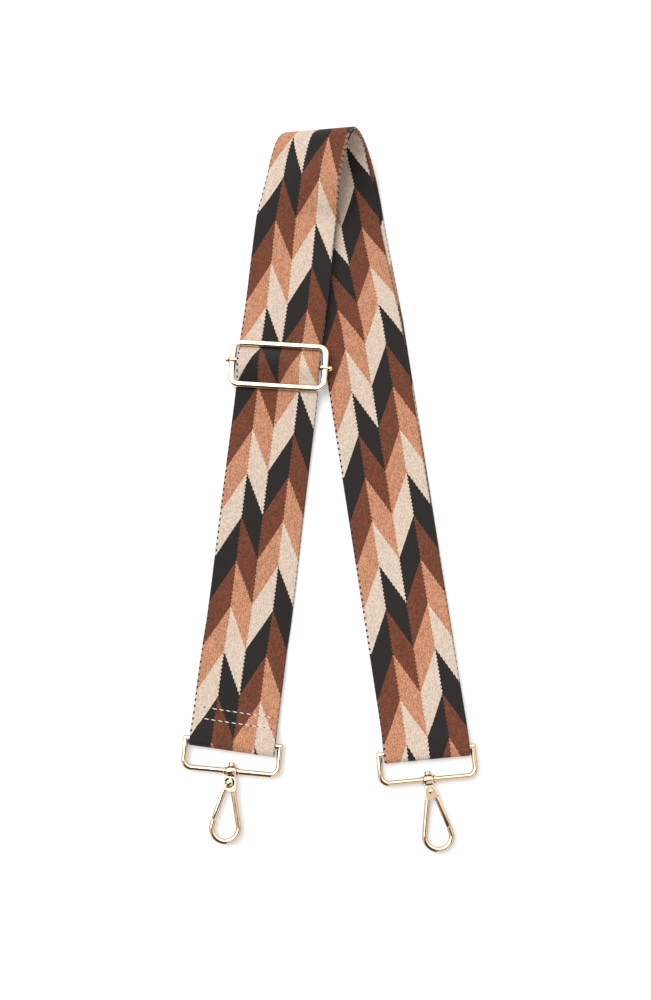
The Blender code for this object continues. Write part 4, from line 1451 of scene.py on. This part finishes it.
def make_table(scene, stage):
    """A white table, glowing a little to the camera and in reflections."""
    bm = bmesh.new()
    place = Matrix.Translation((0.0, 0.0, -TABLE_DROP))
    bmesh.ops.create_grid(bm, x_segments=1, y_segments=1, size=TABLE_HALF, matrix=place)
    mesh = bpy.data.meshes.new("table")
    bm.to_mesh(mesh)
    bm.free()
    table = bpy.data.objects.new("table", mesh)
    scene.collection.objects.link(table)
    material, shader = new_material("table_white", stage.floor)
    camera_ray, glossy, through = shader.rays()
    seen = (camera_ray + glossy + through).least(1.0)
    diffuse = shader.node("ShaderNodeBsdfDiffuse", None, {"Color": tuple(stage.floor)})
    glow = shader.node("ShaderNodeEmission", None, {"Color": WHITE, "Strength": seen * TABLE_GLOW})
    shader.finish(shader.node("ShaderNodeAddShader", None, {0: diffuse, 1: glow}))
    mesh.materials.append(material)


def make_room(scene, stage):
    """White to the camera, plain light on the strap, and a room that the metal reflects."""
    world = bpy.data.worlds.new("studio")
    world.use_nodes = True
    scene.world = world
    shader = Shader(world.node_tree)
    camera_ray, glossy, through = shader.rays()
    x, y, z = shader.parts(shader.node("ShaderNodeTexCoord"), 3)
    ends = shader.node("ShaderNodeValToRGB", None, {0: z}, stops=ROOM_ENDS)
    sides = shader.node("ShaderNodeValToRGB", None, {0: z}, stops=ROOM_SIDES)
    seen = shader.mix(((abs(y) - 0.45) * 4.0).clamped(), sides, ends)
    # Brighter behind, duller overhead
    bright = ((y - 0.16) * 8.0).clamped() * 0.5 + 1.0
    seen = shader.node("ShaderNodeVectorMath", {"operation": "SCALE"}, {0: seen, 3: bright})
    dull = ((0.20 - y) * 20.0).clamped() * ((0.60 - abs(x)) * 6.0).clamped()
    seen = shader.mix(dull, seen, ROOM_OVERHEAD)
    # A dark wedge from overhead down to the front left, as a camera and its stand reflect
    below = (-0.27 - y).most(0.0)
    right = (0.60 - below * 9.0).most(0.05) - x
    left = x + 0.66 + below * 0.6
    wedge = (right.least(left) * 14.0).clamped() * (((-0.025 - y) * 55.0).clamped() * 0.97)
    seen = shader.mix(wedge, seen, ROOM_WEDGE)
    shiny = (glossy + through).least(1.0)
    level = camera_ray + shiny * ROOM_LEVEL + (1.0 - (camera_ray + shiny).least(1.0)) * stage.sky
    colour = shader.mix(shiny, WHITE, seen)
    shader.finish(shader.node("ShaderNodeBackground", None, {0: colour, 1: level}), "ShaderNodeOutputWorld")


def make_lamp(scene, stage):
    """A soft lamp from above."""
    lamp = bpy.data.lights.new("soft_lamp", "SUN")
    lamp.energy = stage.lamp
    lamp.angle = LAMP_SPREAD
    sun = bpy.data.objects.new("soft_lamp", lamp)
    sun.rotation_euler = Vector(LAMP_WAY).to_track_quat("-Z", "Y").to_euler()
    scene.collection.objects.link(sun)


def make_camera(scene):
    """The photograph's view, from above and a little from the front."""
    data = bpy.data.cameras.new("camera")
    data.sensor_fit = "VERTICAL"
    data.sensor_height = CAMERA_SENSOR
    data.lens = CAMERA_LENS
    camera = bpy.data.objects.new("camera", data)
    camera.location = CAMERA_PLACE
    camera.rotation_euler = (CAMERA_TILT, 0.0, 0.0)
    scene.collection.objects.link(camera)
    scene.camera = camera


class STRAP_OT_stage(Operator):
    """Make the table, the light and the camera"""

    bl_idname = "strap.stage"
    bl_label = "Stage"

    def execute(self, context):
        scene, stage = context.scene, context.scene.strap_stage
        make_table(scene, stage)
        make_room(scene, stage)
        make_lamp(scene, stage)
        make_camera(scene)
        scene.view_settings.view_transform = "Standard"
        return {"FINISHED"}


class STRAP_PT_panel(Panel):
    """Lists the pieces of the strap"""

    bl_idname = "STRAP_PT_panel"
    bl_label = "Bag Strap"
    bl_space_type = "VIEW_3D"
    bl_region_type = "UI"
    bl_category = "Bag Strap"

    def draw(self, context):
        for operator in OPERATORS:
            self.layout.operator(operator.bl_idname)
        for group in (context.scene.strap_webbing, context.scene.strap_metal, context.scene.strap_stage):
            column = self.layout.column()
            for name in group.__annotations__:
                column.prop(group, name)


SETTINGS = (StrapWebbingSettings, StrapMetalSettings, StrapStageSettings)
OPERATORS = (
    STRAP_OT_stage,
    STRAP_OT_webbing,
    STRAP_OT_stitches,
    STRAP_OT_rings,
    STRAP_OT_hooks,
    STRAP_OT_gates,
    STRAP_OT_slider,
)
CLASSES = SETTINGS + OPERATORS + (STRAP_PT_panel,)


def register():
    for cls in CLASSES:
        bpy.utils.register_class(cls)
    bpy.types.Scene.strap_webbing = PointerProperty(type=StrapWebbingSettings)
    bpy.types.Scene.strap_metal = PointerProperty(type=StrapMetalSettings)
    bpy.types.Scene.strap_stage = PointerProperty(type=StrapStageSettings)


def unregister():
    del bpy.types.Scene.strap_stage
    del bpy.types.Scene.strap_metal
    del bpy.types.Scene.strap_webbing
    for cls in reversed(CLASSES):
        bpy.utils.unregister_class(cls)


def main():
    register()
    bpy.ops.strap.stage()
    bpy.ops.strap.webbing()
    bpy.ops.strap.stitches()
    bpy.ops.strap.rings()
    bpy.ops.strap.hooks()
    bpy.ops.strap.gates()
    bpy.ops.strap.slider()


if __name__ == "__main__":
    main()
